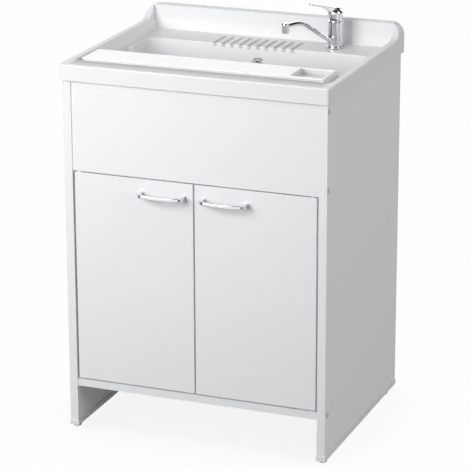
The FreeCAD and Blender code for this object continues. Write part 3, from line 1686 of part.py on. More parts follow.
lug_room = box(
    "lug_room", (-lug_room_half, lug_room_half),
    (lift_back - lug_radius, lift_back + lug_radius + snug * lug_back_share),
    (hood_z - overrun, lift_z + lug_radius + lug_radius),
)
pin_room = rod(
    "pin_room", lift_pin_radius + lift_pin_running, (lift_pin_half_length + snug) * 2,
    -lift_pin_half_length - snug,
    lift_back, lift_z, "x",
)
lever_parts = fused("lever_parts", hood_domed, paddle)
node(at_tap(cut("lever_shape", lever_parts, hood_hollow, hood_mouth, lug_room, pin_room)), "tap_lever")

# Waste, overflow and bottle trap under the bowl

strainer_radius = size("strainer_radius", 40)
strainer_lip = size("strainer_lip", 2.2)
strainer_edge = size("strainer_edge", 0.8)
strainer_tube_radius = size("strainer_tube_radius", 27.5)
strainer_wall = size("strainer_wall", 3)
strainer_drop = size("strainer_drop", 10)
grid_drop = size("grid_drop", 5)
grid_thickness = size("grid_thickness", 2)
grid_hole_radius = size("grid_hole_radius", 2.6)
grid_inner_ring = size("grid_inner_ring", 11.5)
grid_outer_ring = size("grid_outer_ring", 19)
waste_screw_radius = size("waste_screw_radius", 3)
waste_screw_head_radius = size("waste_screw_head_radius", 6)
waste_screw_head = size("waste_screw_head", 2.4)
waste_screw_length = size("waste_screw_length", 32)
waste_gasket_radius = size("waste_gasket_radius", 43)
waste_gasket_thickness = size("waste_gasket_thickness", 2)
waste_flange_radius = size("waste_flange_radius", 44)
waste_flange = size("waste_flange", 3)
waste_cup_radius = size("waste_cup_radius", 34)
waste_cup_wall = size("waste_cup_wall", 3)
waste_cup_height = size("waste_cup_height", 37)
waste_tail_radius = size("waste_tail_radius", 20)
waste_tail_length = size("waste_tail_length", 29)
pipe_wall = size("pipe_wall", 2)
waste_bar_half_width = size("waste_bar_half_width", 5)
waste_bar_height = size("waste_bar_height", 9)
overflow_pipe_radius = size("overflow_pipe_radius", 11)
overflow_port_wall = size("overflow_port_wall", 2.8)
overflow_port_drop = size("overflow_port_drop", 17)
overflow_port_reach = size("overflow_port_reach", 50)
overflow_port_socket = size("overflow_port_socket", 12)
overflow_riser_back = size("overflow_riser_back", 411)
overflow_bend = size("overflow_bend", 32)
rosette_radius = size("rosette_radius", 14)
rosette_thickness = size("rosette_thickness", 3)
rosette_hole_radius = size("rosette_hole_radius", 2.2)
rosette_hole_ring = size("rosette_hole_ring", 6)
elbow_flange_radius = size("elbow_flange_radius", 16.5)
elbow_flange = size("elbow_flange", 3)
elbow_body_radius = size("elbow_body_radius", 12.8)
elbow_wall = size("elbow_wall", 2.6)
elbow_socket_drop = size("elbow_socket_drop", 36)
elbow_socket = size("elbow_socket", 14)
trap_socket_depth = size("trap_socket_depth", 17)
trap_socket_wall = size("trap_socket_wall", 3.3)
trap_shoulder_drop = size("trap_shoulder_drop", 21)
trap_taper = size("trap_taper", 10)
trap_bottle_radius = size("trap_bottle_radius", 33)
trap_bottle_height = size("trap_bottle_height", 84)
trap_dip_length = size("trap_dip_length", 96)
trap_cup_radius = size("trap_cup_radius", 36)
trap_cup_overlap = size("trap_cup_overlap", 6)
trap_cup_depth = size("trap_cup_depth", 52)
trap_cup_floor = size("trap_cup_floor", 4)
trap_outlet_drop = size("trap_outlet_drop", 53)
trap_port_reach = size("trap_port_reach", 52)
trap_pipe_start = size("trap_pipe_start", 34)
outlet_pipe_back = size("outlet_pipe_back", 494)
pipe_bead_start = size("pipe_bead_start", 28)
pipe_bead = size("pipe_bead", 3)
pipe_bead_rise = size("pipe_bead_rise", 2)
union_radius = size("union_radius", 27.5)
union_length = size("union_length", 16)
union_overlap = size("union_overlap", 10)

strainer_z = waste_seat_z
strainer_bottom = strainer_z - strainer_drop
grid_z = strainer_z - grid_drop
strainer_bore = strainer_tube_radius - strainer_wall
strainer_points = [
    (strainer_bore, strainer_bottom),
    (strainer_tube_radius, strainer_bottom),
    (strainer_tube_radius, strainer_z),
    (strainer_radius, strainer_z),
    (strainer_radius, strainer_z + strainer_edge),
    (strainer_bore + strainer_wall, strainer_z + strainer_lip),
    (strainer_bore, strainer_z + strainer_edge),
]
grid_disc = rod("grid_disc", strainer_bore + strainer_wall / 2, grid_thickness, z=grid_z)
grid_holes = [
    rod(
        "grid_screw_hole", waste_screw_radius + snug, grid_thickness * drill_share,
        z=grid_z - grid_thickness,
    )
]
for ring_name, ring_radius, count in (("inner", grid_inner_ring, 8), ("outer", grid_outer_ring, 14)):
    for number in range(count):
        turn = 2 * math.pi * number / count
        x = ring_radius * math.cos(turn)
        y = ring_radius * math.sin(turn)
        grid_holes.append(
            rod(
                f"grid_{ring_name}_{number}", grid_hole_radius, grid_thickness * drill_share, x, y,
                grid_z - grid_thickness,
            )
        )
strainer_parts = fused("strainer_parts", turned("strainer_ring", strainer_points), grid_disc)
node(place(cut("strainer_shape", strainer_parts, *grid_holes), ZERO, waste_y), "waste_strainer")

gasket_top = waste_boss_z
gasket_points = [
    (waste_hole_radius, gasket_top - waste_gasket_thickness),
    (waste_gasket_radius, gasket_top - waste_gasket_thickness),
    (waste_gasket_radius, gasket_top),
    (waste_hole_radius, gasket_top),
]
node(turned("waste_gasket_ring", gasket_points, ZERO, waste_y), "waste_gasket")

waste_top = gasket_top - waste_gasket_thickness
cup_z = waste_top - waste_cup_height
tail_z = cup_z - waste_tail_length
cup_bore = waste_cup_radius - waste_cup_wall
tail_bore = waste_tail_radius - waste_cup_wall
cup_points = [
    (cup_bore, waste_top),
    (waste_flange_radius, waste_top),
    (waste_flange_radius, waste_top - waste_flange),
    (waste_cup_radius, waste_top - waste_flange),
    (waste_cup_radius, cup_z + waste_cup_wall),
    (waste_tail_radius, cup_z - waste_cup_wall),
    (waste_tail_radius, tail_z),
    (tail_bore, tail_z),
    (tail_bore, cup_z),
    (cup_bore, cup_z + waste_cup_wall * 2),
]
port_z = waste_top - overflow_port_drop
port_radius = overflow_pipe_radius + overflow_port_wall
cup_body = turned("waste_cup", cup_points)
waste_port = rod("waste_port", port_radius, overflow_port_reach - cup_bore, ZERO, cup_bore, port_z, "y")
bar_top_share = 0.45
bar_top = grid_z - waste_screw_length * bar_top_share
waste_bar = box(
    "waste_bar", (-cup_bore - waste_cup_wall / 2, cup_bore + waste_cup_wall / 2),
    (-waste_bar_half_width, waste_bar_half_width),
    (bar_top - waste_bar_height, bar_top),
)
port_bore = rod(
    "port_bore", overflow_pipe_radius - pipe_wall, overflow_port_reach, ZERO, tail_bore, port_z, "y",
)
port_socket = rod(
    "port_socket", overflow_pipe_radius + snug, overflow_port_socket + overrun, ZERO,
    overflow_port_reach - overflow_port_socket, port_z, "y",
)
bar_hole = rod(
    "bar_hole", waste_screw_radius + snug, waste_bar_height * 2, z=bar_top - waste_bar_height - overrun,
)
waste_parts = fused("waste_parts", cup_body, waste_port, waste_bar)
node(
    place(cut("waste_shape", waste_parts, port_bore, port_socket, bar_hole), ZERO, waste_y),
    "waste_body",
)
screw_top = grid_z + grid_thickness
node(
    flat_screw(
        "waste_screw_bar", waste_screw_radius, waste_screw_length, waste_screw_head_radius,
        waste_screw_head,
        ZERO, waste_y, screw_top - waste_screw_length, None,
    ),
    "waste_screw",
)

# The overflow: a rosette in the bowl, an elbow behind it and a pipe down to the waste

overflow_y = basin_front + overflow_seat
boss_back_y = basin_front + overflow_boss_back
rosette_stem = overflow_boss_back - overflow_seat + elbow_flange
rosette_bore = overflow_hole_radius - snug - pipe_wall
rosette_points = [
    (ZERO, -rosette_thickness),
    (rosette_radius - rosette_thickness / 2, -rosette_thickness),
    (rosette_radius, -rosette_thickness / 2),
    (rosette_radius, ZERO),
    (overflow_hole_radius - snug, ZERO),
    (overflow_hole_radius - snug, rosette_stem),
    (rosette_bore, rosette_stem),
    (rosette_bore, ZERO),
    (ZERO, ZERO),
]
rosette_holes = []
rosette_holes_count = 6
for number in range(rosette_holes_count):
    turn = 2 * math.pi * number / rosette_holes_count
    x = rosette_hole_ring * math.cos(turn)
    y = rosette_hole_ring * math.sin(turn)
    rosette_holes.append(
        rod(
            f"rosette_hole_{number}", rosette_hole_radius, rosette_thickness * drill_share, x, y,
            -rosette_thickness * 2,
        )
    )
rosette = cut("rosette_shape", turned("rosette_disc", rosette_points), *rosette_holes)
node(place(rosette, ZERO, overflow_y, overflow_z, ALONG["y"]), "overflow_rosette")

riser_y = basin_front + overflow_riser_back
elbow_top = overflow_z + overflow_pipe_radius + elbow_wall
socket_z = overflow_z - elbow_socket_drop
elbow_length = overflow_riser_back - overflow_boss_back
elbow_parts = fused(
    "elbow_parts",
    rod("elbow_plate", elbow_flange_radius, elbow_flange, ZERO, boss_back_y, overflow_z, "y"),
    rod("elbow_neck", elbow_body_radius, elbow_length, ZERO, boss_back_y, overflow_z, "y"),
    rod(
        "elbow_drop", overflow_pipe_radius + elbow_wall, elbow_top - socket_z, ZERO, riser_y, elbow_top,
        "down",
    ),
)
elbow_bores = [
    rod(
        "elbow_mouth", overflow_hole_radius, elbow_flange + overrun, ZERO, boss_back_y - overrun,
        overflow_z, "y",
    ),
    rod("elbow_way", rosette_bore, elbow_length + overrun, ZERO, boss_back_y - overrun, overflow_z, "y"),
    rod(
        "elbow_fall", overflow_pipe_radius - pipe_wall, elbow_socket_drop + elbow_wall, ZERO, riser_y,
        overflow_z + elbow_wall, "down",
    ),
    rod(
        "elbow_socket", overflow_pipe_radius + snug, elbow_socket + overrun, ZERO, riser_y,
        socket_z - overrun,
    ),
]
node(cut("elbow_shape", elbow_parts, *elbow_bores), "overflow_elbow")
pipe_start = waste_y + overflow_port_reach - overflow_port_socket
pipe_route = ((pipe_start, port_z), (riser_y, port_z), (riser_y, socket_z + elbow_socket))
pipe_outside = swept(
    "pipe_outside", *pipe_route, overflow_bend, round_section(overflow_pipe_radius, port_z),
)
pipe_inside = swept(
    "pipe_inside", *pipe_route, overflow_bend, round_section(overflow_pipe_radius - pipe_wall, port_z),
)
node(cut("pipe_shape", pipe_outside, pipe_inside), "overflow_pipe")

# The bottle trap with its two union nuts and the outlet pipe

trap_bore = waste_tail_radius + snug
trap_top = tail_z + trap_socket_depth
shoulder_z = trap_top - trap_shoulder_drop
bottle_z = trap_top - trap_bottle_height
bottle_wall_share = 1.5
bottle_wall = pipe_wall * bottle_wall_share
dip_radius = tail_bore
trap_points = [
    (trap_bore, trap_top),
    (trap_bore + trap_socket_wall, trap_top),
    (trap_bore + trap_socket_wall, shoulder_z),
    (trap_bottle_radius, shoulder_z - trap_taper),
    (trap_bottle_radius, bottle_z),
    (trap_bottle_radius - bottle_wall, bottle_z),
    (trap_bottle_radius - bottle_wall, shoulder_z - trap_taper - bottle_wall),
    (dip_radius + bottle_wall, shoulder_z - bottle_wall),
    (dip_radius, shoulder_z - trap_taper),
    (dip_radius, trap_top - trap_dip_length),
    (dip_radius - pipe_wall, trap_top - trap_dip_length),
    (dip_radius - pipe_wall, tail_z),
    (trap_bore, tail_z),
]
outlet_pipe_z = trap_top - trap_outlet_drop
outlet_bore = waste_tail_radius + snug
trap_bottle = turned("trap_bottle", trap_points)
trap_port = rod(
    "trap_port", outlet_bore + trap_socket_wall, trap_port_reach - trap_bottle_radius + bottle_wall, ZERO,
    trap_bottle_radius - bottle_wall, outlet_pipe_z, "y",
)
port_way = rod(
    "port_way", waste_tail_radius - pipe_wall, trap_port_reach, ZERO, dip_radius + pipe_wall,
    outlet_pipe_z, "y",
)
port_seat = rod("port_seat", outlet_bore, trap_port_reach, ZERO, trap_pipe_start, outlet_pipe_z, "y")
trap_parts = fused("trap_parts", trap_bottle, trap_port)
node(place(cut("trap_shape", trap_parts, port_way, port_seat), ZERO, waste_y), "trap_body")
cup_inner = trap_bottle_radius + snug
cup_points = [
    (ZERO, bottle_z - trap_cup_depth),
    (trap_cup_radius - trap_cup_floor, bottle_z - trap_cup_depth),
    (trap_cup_radius, bottle_z - trap_cup_depth + trap_cup_floor),
    (trap_cup_radius, bottle_z + trap_cup_overlap),
    (cup_inner, bottle_z + trap_cup_overlap),
    (cup_inner, bottle_z),
    (trap_bottle_radius - bottle_wall, bottle_z),
    (trap_bottle_radius - bottle_wall, bottle_z - trap_cup_depth + trap_cup_floor),
    (ZERO, bottle_z - trap_cup_depth + trap_cup_floor),
]
node(turned("trap_cup_bowl", cup_points, ZERO, waste_y), "trap_cup")
union_points = [
    (outlet_bore + trap_socket_wall + snug, ZERO),
    (union_radius, ZERO),
    (union_radius, union_length),
    (outlet_bore, union_length),
    (outlet_bore, union_overlap),
    (outlet_bore + trap_socket_wall + snug, union_overlap),
]
node(turned("trap_union", union_points, ZERO, waste_y, trap_top - union_overlap), "trap_nut")
union_y = waste_y + trap_port_reach - union_overlap
node(turned("outlet_union", union_points, ZERO, union_y, outlet_pipe_z, ALONG["y"]), "outlet_nut")
pipe_points = [
    (waste_tail_radius - pipe_wall, ZERO),
    (waste_tail_radius, ZERO),
    (waste_tail_radius, pipe_bead_start),
    (waste_tail_radius + pipe_bead_rise, pipe_bead_start),
    (waste_tail_radius + pipe_bead_rise, pipe_bead_start + pipe_bead),
    (waste_tail_radius, pipe_bead_start + pipe_bead),
    (waste_tail_radius, outlet_pipe_back - waste_back - trap_pipe_start),
    (waste_tail_radius - pipe_wall, outlet_pipe_back - waste_back - trap_pipe_start),
]
outlet_start = waste_y + trap_pipe_start
node(
    turned("outlet_tube", pipe_points, ZERO, outlet_start, outlet_pipe_z, ALONG["y"]),
    "trap_outlet_pipe",
)

# Every piece is checked before its file is written

doc.recompute()
for piece in doc.Objects:
    if "Invalid" in piece.State or "Error" in piece.State:
        raise ValueError(f"{piece.Name} failed: {piece.State}")
for piece in nodes:
    if piece.Shape.isNull() or not piece.Shape.isValid():
        raise ValueError(f"{piece.Label} has no valid shape")
os.makedirs("parts", exist_ok=True)
for piece in nodes:
    piece.Shape.exportStep(f"parts/{piece.Label}.step")
print(f"{len(nodes)} nodes written")
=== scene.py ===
import json
import math
from collections import namedtuple

import bpy
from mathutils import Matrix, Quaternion, Vector


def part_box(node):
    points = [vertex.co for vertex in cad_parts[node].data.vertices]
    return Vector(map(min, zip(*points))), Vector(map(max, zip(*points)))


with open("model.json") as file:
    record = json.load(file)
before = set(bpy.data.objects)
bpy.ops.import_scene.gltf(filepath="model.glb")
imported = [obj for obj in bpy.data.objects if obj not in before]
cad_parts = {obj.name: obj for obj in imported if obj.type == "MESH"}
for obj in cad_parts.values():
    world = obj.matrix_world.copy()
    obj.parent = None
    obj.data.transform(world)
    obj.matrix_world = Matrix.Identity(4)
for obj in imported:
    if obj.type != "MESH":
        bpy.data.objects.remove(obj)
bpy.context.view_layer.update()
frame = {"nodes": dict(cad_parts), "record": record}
nodes = frame["nodes"]
bpy.ops.object.select_all(action="DESELECT")


# Shader nodes

# The sockets of a colour Mix node
MIX_SHARE, MIX_FIRST, MIX_SECOND, MIX_RESULT = 0, 6, 7, 2


def shade(colour, tone):
    """A lighter or darker tone of a colour, white at most."""
    return tuple(min(1.0, part * tone) for part in colour)


def grey(level):
    return (level, level, level)


class Flow:
    """One output of the nodes in a tree, with arithmetic that adds Math nodes."""

    def __init__(self, owner, socket):
        self.owner = owner
        self.socket = socket

    def math(self, operation, *others):
        return self.owner.math(operation, self, *others)

    def __add__(self, other):
        return self.math("ADD", other)

    __radd__ = __add__

    def __sub__(self, other):
        return self.math("SUBTRACT", other)

    def __rsub__(self, other):
        return self.owner.math("SUBTRACT", other, self)

    def __mul__(self, other):
        return self.math("MULTIPLY", other)

    def __truediv__(self, other):
        return self.math("DIVIDE", other)

    def __gt__(self, other):
        return self.math("GREATER_THAN", other)

    def __lt__(self, other):
        return self.math("LESS_THAN", other)

    def __abs__(self):
        return self.math("ABSOLUTE")


class Nodes:
    """Adds nodes to one shader tree, whose patterns lie in one kind of coordinates."""

    def __init__(self, tree, coordinates):
        self.tree = tree
        self.place = self.node("ShaderNodeTexCoord", output=coordinates)

    def node(self, kind, settings=None, values=None, output=0):
        """Adds one node: its settings first, then the values or links of its sockets."""
        made = self.tree.nodes.new(kind)
        for name, value in (settings or {}).items():
            setattr(made, name, value)
        for name, value in (values or {}).items():
            self.feed(made.inputs[name], value)
        return Flow(self, made.outputs[output])

    def feed(self, socket, value):
        """Links a flow to a socket, or sets the socket to a value."""
        if isinstance(value, Flow):
            self.tree.links.new(value.socket, socket)
            return
        if isinstance(value, tuple) and len(value) < len(socket.default_value):
            value = value + (1.0,)
        socket.default_value = value

    def math(self, operation, *terms):
        return self.node("ShaderNodeMath", {"operation": operation}, dict(enumerate(terms)))

    def axis(self, name, vector=None):
        """One part of a vector, or of the place on the object."""
        return self.node("ShaderNodeSeparateXYZ", values={0: vector or self.place}, output=name)

    def ray(self, question):
        """One where the ray is of the kind asked for, otherwise nothing."""
        return self.node("ShaderNodeLightPath", output=question)

    def noise(self, scale, detail=4.0, roughness=0.5, finer=(1, 1, 1), distortion=0.0):
        """Fractal noise, made that many times finer along each axis."""
        scaled = {0: self.place, 1: finer}
        place = self.node("ShaderNodeVectorMath", {"operation": "MULTIPLY"}, scaled)
        values = {"Vector": place, "Scale": scale, "Detail": detail, "Roughness": roughness}
        return self.node("ShaderNodeTexNoise", values={**values, "Distortion": distortion})

    def cells(self, scale, output):
        """A pattern of cells: the distance from their middles, or a random colour for each."""
        values = {"Vector": self.place, "Scale": scale}
        return self.node("ShaderNodeTexVoronoi", values=values, output=output)

    def rise(self, value, low, high, start=0.0, end=1.0):
        """Goes softly from start to end while the value goes from low to high."""
        values = {"Value": value, "From Min": low, "From Max": high, "To Min": start, "To Max": end}
        return self.node("ShaderNodeMapRange", {"interpolation_type": "SMOOTHSTEP"}, values)

    def fall(self, value, low, high):
        """Goes softly from one to nothing while the value goes from low to high."""
        return self.rise(value, low, high, start=1.0, end=0.0)

    def mix(self, share, first, second):
        """Goes from the first colour to the second as the share goes to one."""
        values = {MIX_SHARE: share, MIX_FIRST: first, MIX_SECOND: second}
        return self.node("ShaderNodeMix", {"data_type": "RGBA"}, values, MIX_RESULT)

    def bump(self, height, distance, strength, under=None):
        """Relief on top of the relief under it, where there is one."""
        values = {"Height": height, "Distance": distance, "Strength": strength}
        if under:
            values["Normal"] = under
        return self.node("ShaderNodeBump", values=values)

    @staticmethod
    def raised(least, *additions):
        """A least value, and the most that each mask adds to it."""
        total = least
        for mask, most in additions:
            total = total + mask * most
        return total


class Finish(Nodes):
    """A procedural finish on one Principled shader, over a plain colour and roughness."""

    def __init__(self, name, colour, roughness, **constants):
        self.material = bpy.data.materials.new(name)
        self.material.use_nodes = True
        super().__init__(self.material.node_tree, "Object")
        self.shader = self.tree.nodes["Principled BSDF"]
        self.colour = colour
        self.set("Base Color", colour)
        self.set("Roughness", roughness)
        for socket, value in constants.items():
            self.set(socket.replace("_", " "), value)

    def set(self, name, value):
        self.feed(self.shader.inputs[name], value)

    def clouded(self, cloud, darkest, palest):
        """The finish's colour, drifting between two tones of it."""
        return self.mix(cloud, shade(self.colour, darkest), shade(self.colour, palest))

    def stain(self, base, mask, share, tone):
        """The base with some of another tone of the finish's colour where the mask is."""
        return self.mix(mask * share, base, shade(self.colour, tone))

    def done(self, colour, roughness, relief):
        """Links what varies over the surface and gives the material."""
        self.set("Base Color", colour)
        self.set("Roughness", roughness)
        self.set("Normal", relief)
        return self.material


# Boards

WHITE = (0.84, 0.85, 0.865)
DARK_CHIP = (0.34, 0.235, 0.14)
PALE_CHIP = (0.66, 0.52, 0.355)

# How far the edge band reaches into a board, and from where it fades into the glue line
BAND_THICKNESS = 0.0009
BAND_FADE_START = 0.0007

# The faces' paper shows as a pale line along a raw edge, fading in over the last bit of chips
PAPER_THICKNESS = 0.0004
PAPER_FADE_START = 0.0006

# The depths between which a raw edge's chips fade into the faces
RAW_FADE = (0.0001, 0.0003)


def melamine(node_name, raw_sides, banded_sides):
    """White faced chip board with banded edges; the edges named raw show their pressed chips."""
    low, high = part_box(node_name)
    thin = min(range(3), key=lambda axis: high[axis] - low[axis])
    finish = Finish(node_name + "_melamine", WHITE, roughness=0.34, Specular_IOR_Level=0.42)
    cloud = finish.noise(scale=3.0, detail=3.0)
    grain = finish.noise(scale=900.0, detail=2.0, roughness=0.6)
    peel = finish.noise(scale=240.0, detail=2.0)
    scuff = finish.noise(scale=14.0, detail=6.0, roughness=0.62, finer=(1, 1, 5))
    scuff = finish.rise(scuff, low=0.62, high=0.74)
    face = finish.clouded(cloud, darkest=0.975, palest=1.01)
    face = finish.stain(face, scuff, share=0.16, tone=0.9)
    rough = finish.raised(0.30, (cloud, 0.07), (grain, 0.05), (scuff, 0.1))
    relief = finish.bump(peel, distance=0.00006, strength=0.5)

    # How far a point lies inside each of the board's four edges
    inside = {}
    for axis, name in enumerate("XYZ"):
        if axis != thin:
            where = finish.axis(name)
            inside[name + "-"] = where - low[axis]
            inside[name + "+"] = high[axis] - where

    # The glue line of each edge band, and dust and small knocks along it
    for side in banded_sides.split():
        depth = inside[side]
        line = finish.fall(abs(depth - BAND_THICKNESS), low=0.00004, high=0.00022)
        knocks = finish.noise(scale=70.0, detail=5.0, roughness=0.6)
        knocks = finish.rise(knocks, low=0.5, high=0.66)
        worn = finish.fall(depth, low=0.0002, high=0.004) * knocks
        band = finish.fall(depth, low=BAND_FADE_START, high=BAND_THICKNESS)
        face = finish.stain(face, line, share=0.28, tone=0.6)
        face = finish.stain(face, worn, share=0.14, tone=0.78)
        rough = finish.raised(rough, (band, -0.05), (worn, 0.08))
        relief = finish.bump(1.0 - line, distance=0.00008, strength=0.6, under=relief)

    # Raw edges with their pressed chips, coarse in the middle and fine near the faces
    middle = (low[thin] + high[thin]) / 2
    half = (high[thin] - low[thin]) / 2
    off_middle = abs(finish.axis("XYZ"[thin]) - middle)
    skin = finish.rise(off_middle, low=half * 0.5, high=half * 0.85)
    coarse = finish.axis("X", finish.cells(scale=330.0, output="Color"))
    fine = finish.axis("Y", finish.cells(scale=1100.0, output="Color"))
    chips = coarse * (1.0 - skin) + fine * skin
    core = finish.mix(chips, DARK_CHIP, PALE_CHIP)
    paper = finish.rise(off_middle, low=half - PAPER_FADE_START, high=half - PAPER_THICKNESS)
    for side in raw_sides.split():
        raw = finish.fall(inside[side], *RAW_FADE) * (1.0 - paper)
        face = finish.mix(raw, face, core)
        rough = finish.raised(rough, (raw, 0.42))
        relief = finish.bump(chips * raw, distance=0.0004, strength=0.8, under=relief)
    return finish.done(face, rough, relief)


# Moulded plastic

# A row of flutes along X: the first one's middle, their pitch and number, their ends and heights
Grooves = namedtuple("Grooves", "first pitch number front back bottom top")

# A box in which the colour is darkened, and how much of it there is
Film = namedtuple("Film", "low high strength")

FLUTE_FLOOR_HALF = 0.0030
FLUTE_MOUTH_HALF = 0.0056
FLUTE_END_FADE = 0.006
DARKENING_END_FADE = 0.004


def flute_shade_in(finish, grooves):
    """A mask of painted shade in a row of flutes."""
    x = finish.axis("X")
    along = finish.axis("Y")
    first, pitch = grooves.first, grooves.pitch
    off_middle = abs(((x - first) / pitch + 0.5).math("FRACT") - 0.5) * pitch
    scale = finish.fall(off_middle, FLUTE_FLOOR_HALF, FLUTE_MOUTH_HALF)
    scale = scale * (x > first - pitch / 2) * (x < first + pitch * (grooves.number - 0.5))
    scale = scale * finish.rise(along, grooves.front, grooves.front + FLUTE_END_FADE)
    scale = scale * finish.fall(along, grooves.back, grooves.back + FLUTE_END_FADE)
    scale = scale * (finish.axis("Z") < grooves.top) * (finish.axis("Z") > grooves.bottom)
    return scale * finish.raised(0.75, (finish.noise(scale=55.0), 0.5))


def darkening_in(finish, darkening):
    """A mask that darkens a box, densest at its back and faint at its front."""
    x, y, z = (finish.axis(name) for name in "XYZ")
    low, high = darkening.low, darkening.high
    dark_mask = finish.rise(y, low[1], high[1], start=0.35) * (y < high[1]) * (y > low[1])
    dark_mask = dark_mask * (z > low[2]) * (z < high[2])
    dark_mask = dark_mask * finish.rise(x, low[0], low[0] + DARKENING_END_FADE)
    dark_mask = dark_mask * finish.fall(x, high[0] - DARKENING_END_FADE, high[0])
    return dark_mask * finish.raised(0.85, (finish.noise(scale=18.0, detail=5.0, roughness=0.6), 0.3))


def moulded(name, colour, gloss, wave=0.00025, shine=0.5, coat=0.1, grooves=None, darkening=None):
    """Glossy moulded plastic with sink marks, fine scratches and water marks, painted shade in
    flutes, and a darkened box that on the basin's rim is painted shadow of the washboard.
    """
    finish = Finish(
        name, colour, gloss, Specular_IOR_Level=shine, Coat_Weight=coat, Coat_Roughness=0.12)
    cloud = finish.noise(scale=4.5, detail=3.0)
    swell = finish.noise(scale=22.0, detail=2.0, roughness=0.4)
    fine = finish.noise(scale=700.0, detail=2.0)
    scratch = finish.noise(scale=60.0, detail=5.0, roughness=0.65, finer=(1, 14, 3))
    scratch = finish.rise(scratch, low=0.64, high=0.72)
    drops = finish.fall(finish.cells(scale=46.0, output="Distance"), low=0.10, high=0.16)
    spots = drops * finish.rise(finish.noise(scale=9.0), low=0.52, high=0.62)
    base = finish.clouded(cloud, darkest=0.972, palest=1.02)
    base = finish.stain(base, spots, share=0.14, tone=0.86)
    if grooves:
        # Painted shade in the flutes, darkening their floors
        scale = flute_shade_in(finish, grooves)
        base = finish.stain(base, scale, share=0.7, tone=0.58)
        spots = finish.raised(spots, (scale, 0.5))
    if darkening:
        # The darkened box: on the basin's front rim it is painted shadow of the washboard
        dark_mask = darkening_in(finish, darkening)
        base = finish.stain(base, dark_mask, share=darkening.strength, tone=0.55)
        spots = finish.raised(spots, (dark_mask, 0.6))
    rough = finish.raised(gloss, (cloud, 0.06), (scratch, 0.10), (spots, 0.12))
    relief = finish.bump(swell, distance=wave, strength=0.6)
    relief = finish.bump(fine, distance=0.00003, strength=0.5, under=relief)
    return finish.done(base, rough, relief)


# Other finishes

def matte(name, colour, rough, grain=520.0, depth=0.00012):
    """Fine grained plastic with a little dust."""
    finish = Finish(name, colour, rough)
    cloud = finish.noise(scale=9.0)
    texture = finish.noise(scale=grain, detail=3.0, roughness=0.6)
    dust = finish.rise(finish.noise(scale=30.0, detail=5.0, roughness=0.6), low=0.5, high=0.7)
    base = finish.clouded(cloud, darkest=0.95, palest=1.03)
    base = finish.stain(base, dust, share=0.12, tone=0.82)
    rough = finish.raised(rough - 0.04, (texture, 0.08), (dust, 0.08))
    return finish.done(base, rough, finish.bump(texture, distance=depth, strength=0.6))


def plated(name, colour, rough):
    """Bright plating with faint water marks and finger haze."""
    finish = Finish(name, colour, rough, Metallic=1.0)
    haze = finish.rise(finish.noise(scale=26.0, roughness=0.55), low=0.48, high=0.72)
    drops = finish.fall(finish.cells(scale=190.0, output="Distance"), low=0.12, high=0.2)
    marks = drops * finish.rise(finish.noise(scale=40.0), low=0.54, high=0.62)
    base = finish.stain(colour, marks, share=0.3, tone=0.86)
    rough = finish.raised(rough, (haze, 0.05), (marks, 0.12))
    relief = finish.bump(finish.noise(scale=70.0, detail=2.0), distance=0.00004, strength=0.35)
    return finish.done(base, rough, relief)


def zinc(name):
    """Zinc plated steel with its spangle."""
    finish = Finish(name, (0.62, 0.635, 0.65), roughness=0.3, Metallic=1.0)
    brush = finish.noise(scale=180.0, detail=3.0, roughness=0.6, finer=(1, 1, 14))
    spangle = finish.axis("X", finish.cells(scale=240.0, output="Color"))
    base = finish.clouded(spangle, darkest=0.86, palest=1.0)
    rough = finish.raised(0.24, (brush, 0.14), (spangle, 0.06))
    return finish.done(base, rough, finish.bump(brush, distance=0.00005, strength=0.5))


def turned_brass(name):
    """Brass with the rings of its turning and some tarnish."""
    finish = Finish(name, (0.72, 0.53, 0.24), roughness=0.25, Metallic=1.0)
    rings = finish.noise(scale=260.0, detail=3.0, finer=(0.2, 0.2, 5))
    tarnish = finish.rise(finish.noise(scale=60.0), low=0.48, high=0.7)
    base = finish.mix(tarnish, (0.76, 0.57, 0.27), (0.46, 0.33, 0.17))
    rough = finish.raised(0.2, (rings, 0.16), (tarnish, 0.14))
    return finish.done(base, rough, finish.bump(rings, distance=0.00008, strength=0.6))


def rubber(name):
    """Black rubber with a pale bloom."""
    finish = Finish(name, (0.025, 0.025, 0.027), roughness=0.7)
    grain = finish.noise(scale=800.0, detail=3.0)
    bloom = finish.rise(finish.noise(scale=40.0), low=0.45, high=0.75)
    base = finish.mix(bloom, (0.02, 0.02, 0.022), grey(0.06))
    rough = finish.raised(0.62, (grain, 0.2))
    return finish.done(base, rough, finish.bump(grain, distance=0.00015, strength=0.6))


def beech(name):
    """Beech with its grain along X."""
    finish = Finish(name, (0.62, 0.44, 0.26), roughness=0.55)
    grain = finish.noise(scale=90.0, detail=5.0, roughness=0.6, finer=(0.12, 1, 1), distortion=0.6)
    base = finish.mix(grain, (0.70, 0.52, 0.33), (0.46, 0.30, 0.16))
    rough = finish.raised(0.5, (grain, 0.15))
    return finish.done(base, rough, finish.bump(grain, distance=0.0002, strength=0.6))


def ferrite(name):
    """Dark sintered magnet."""
    finish = Finish(name, (0.05, 0.05, 0.055), roughness=0.55, Metallic=0.4)
    grain = finish.noise(scale=600.0)
    base = finish.mix(grain, (0.035, 0.035, 0.04), (0.12, 0.12, 0.125))
    rough = finish.raised(0.45, (grain, 0.2))
    return finish.done(base, rough, finish.bump(grain, distance=0.0002, strength=0.6))


# What each node wears

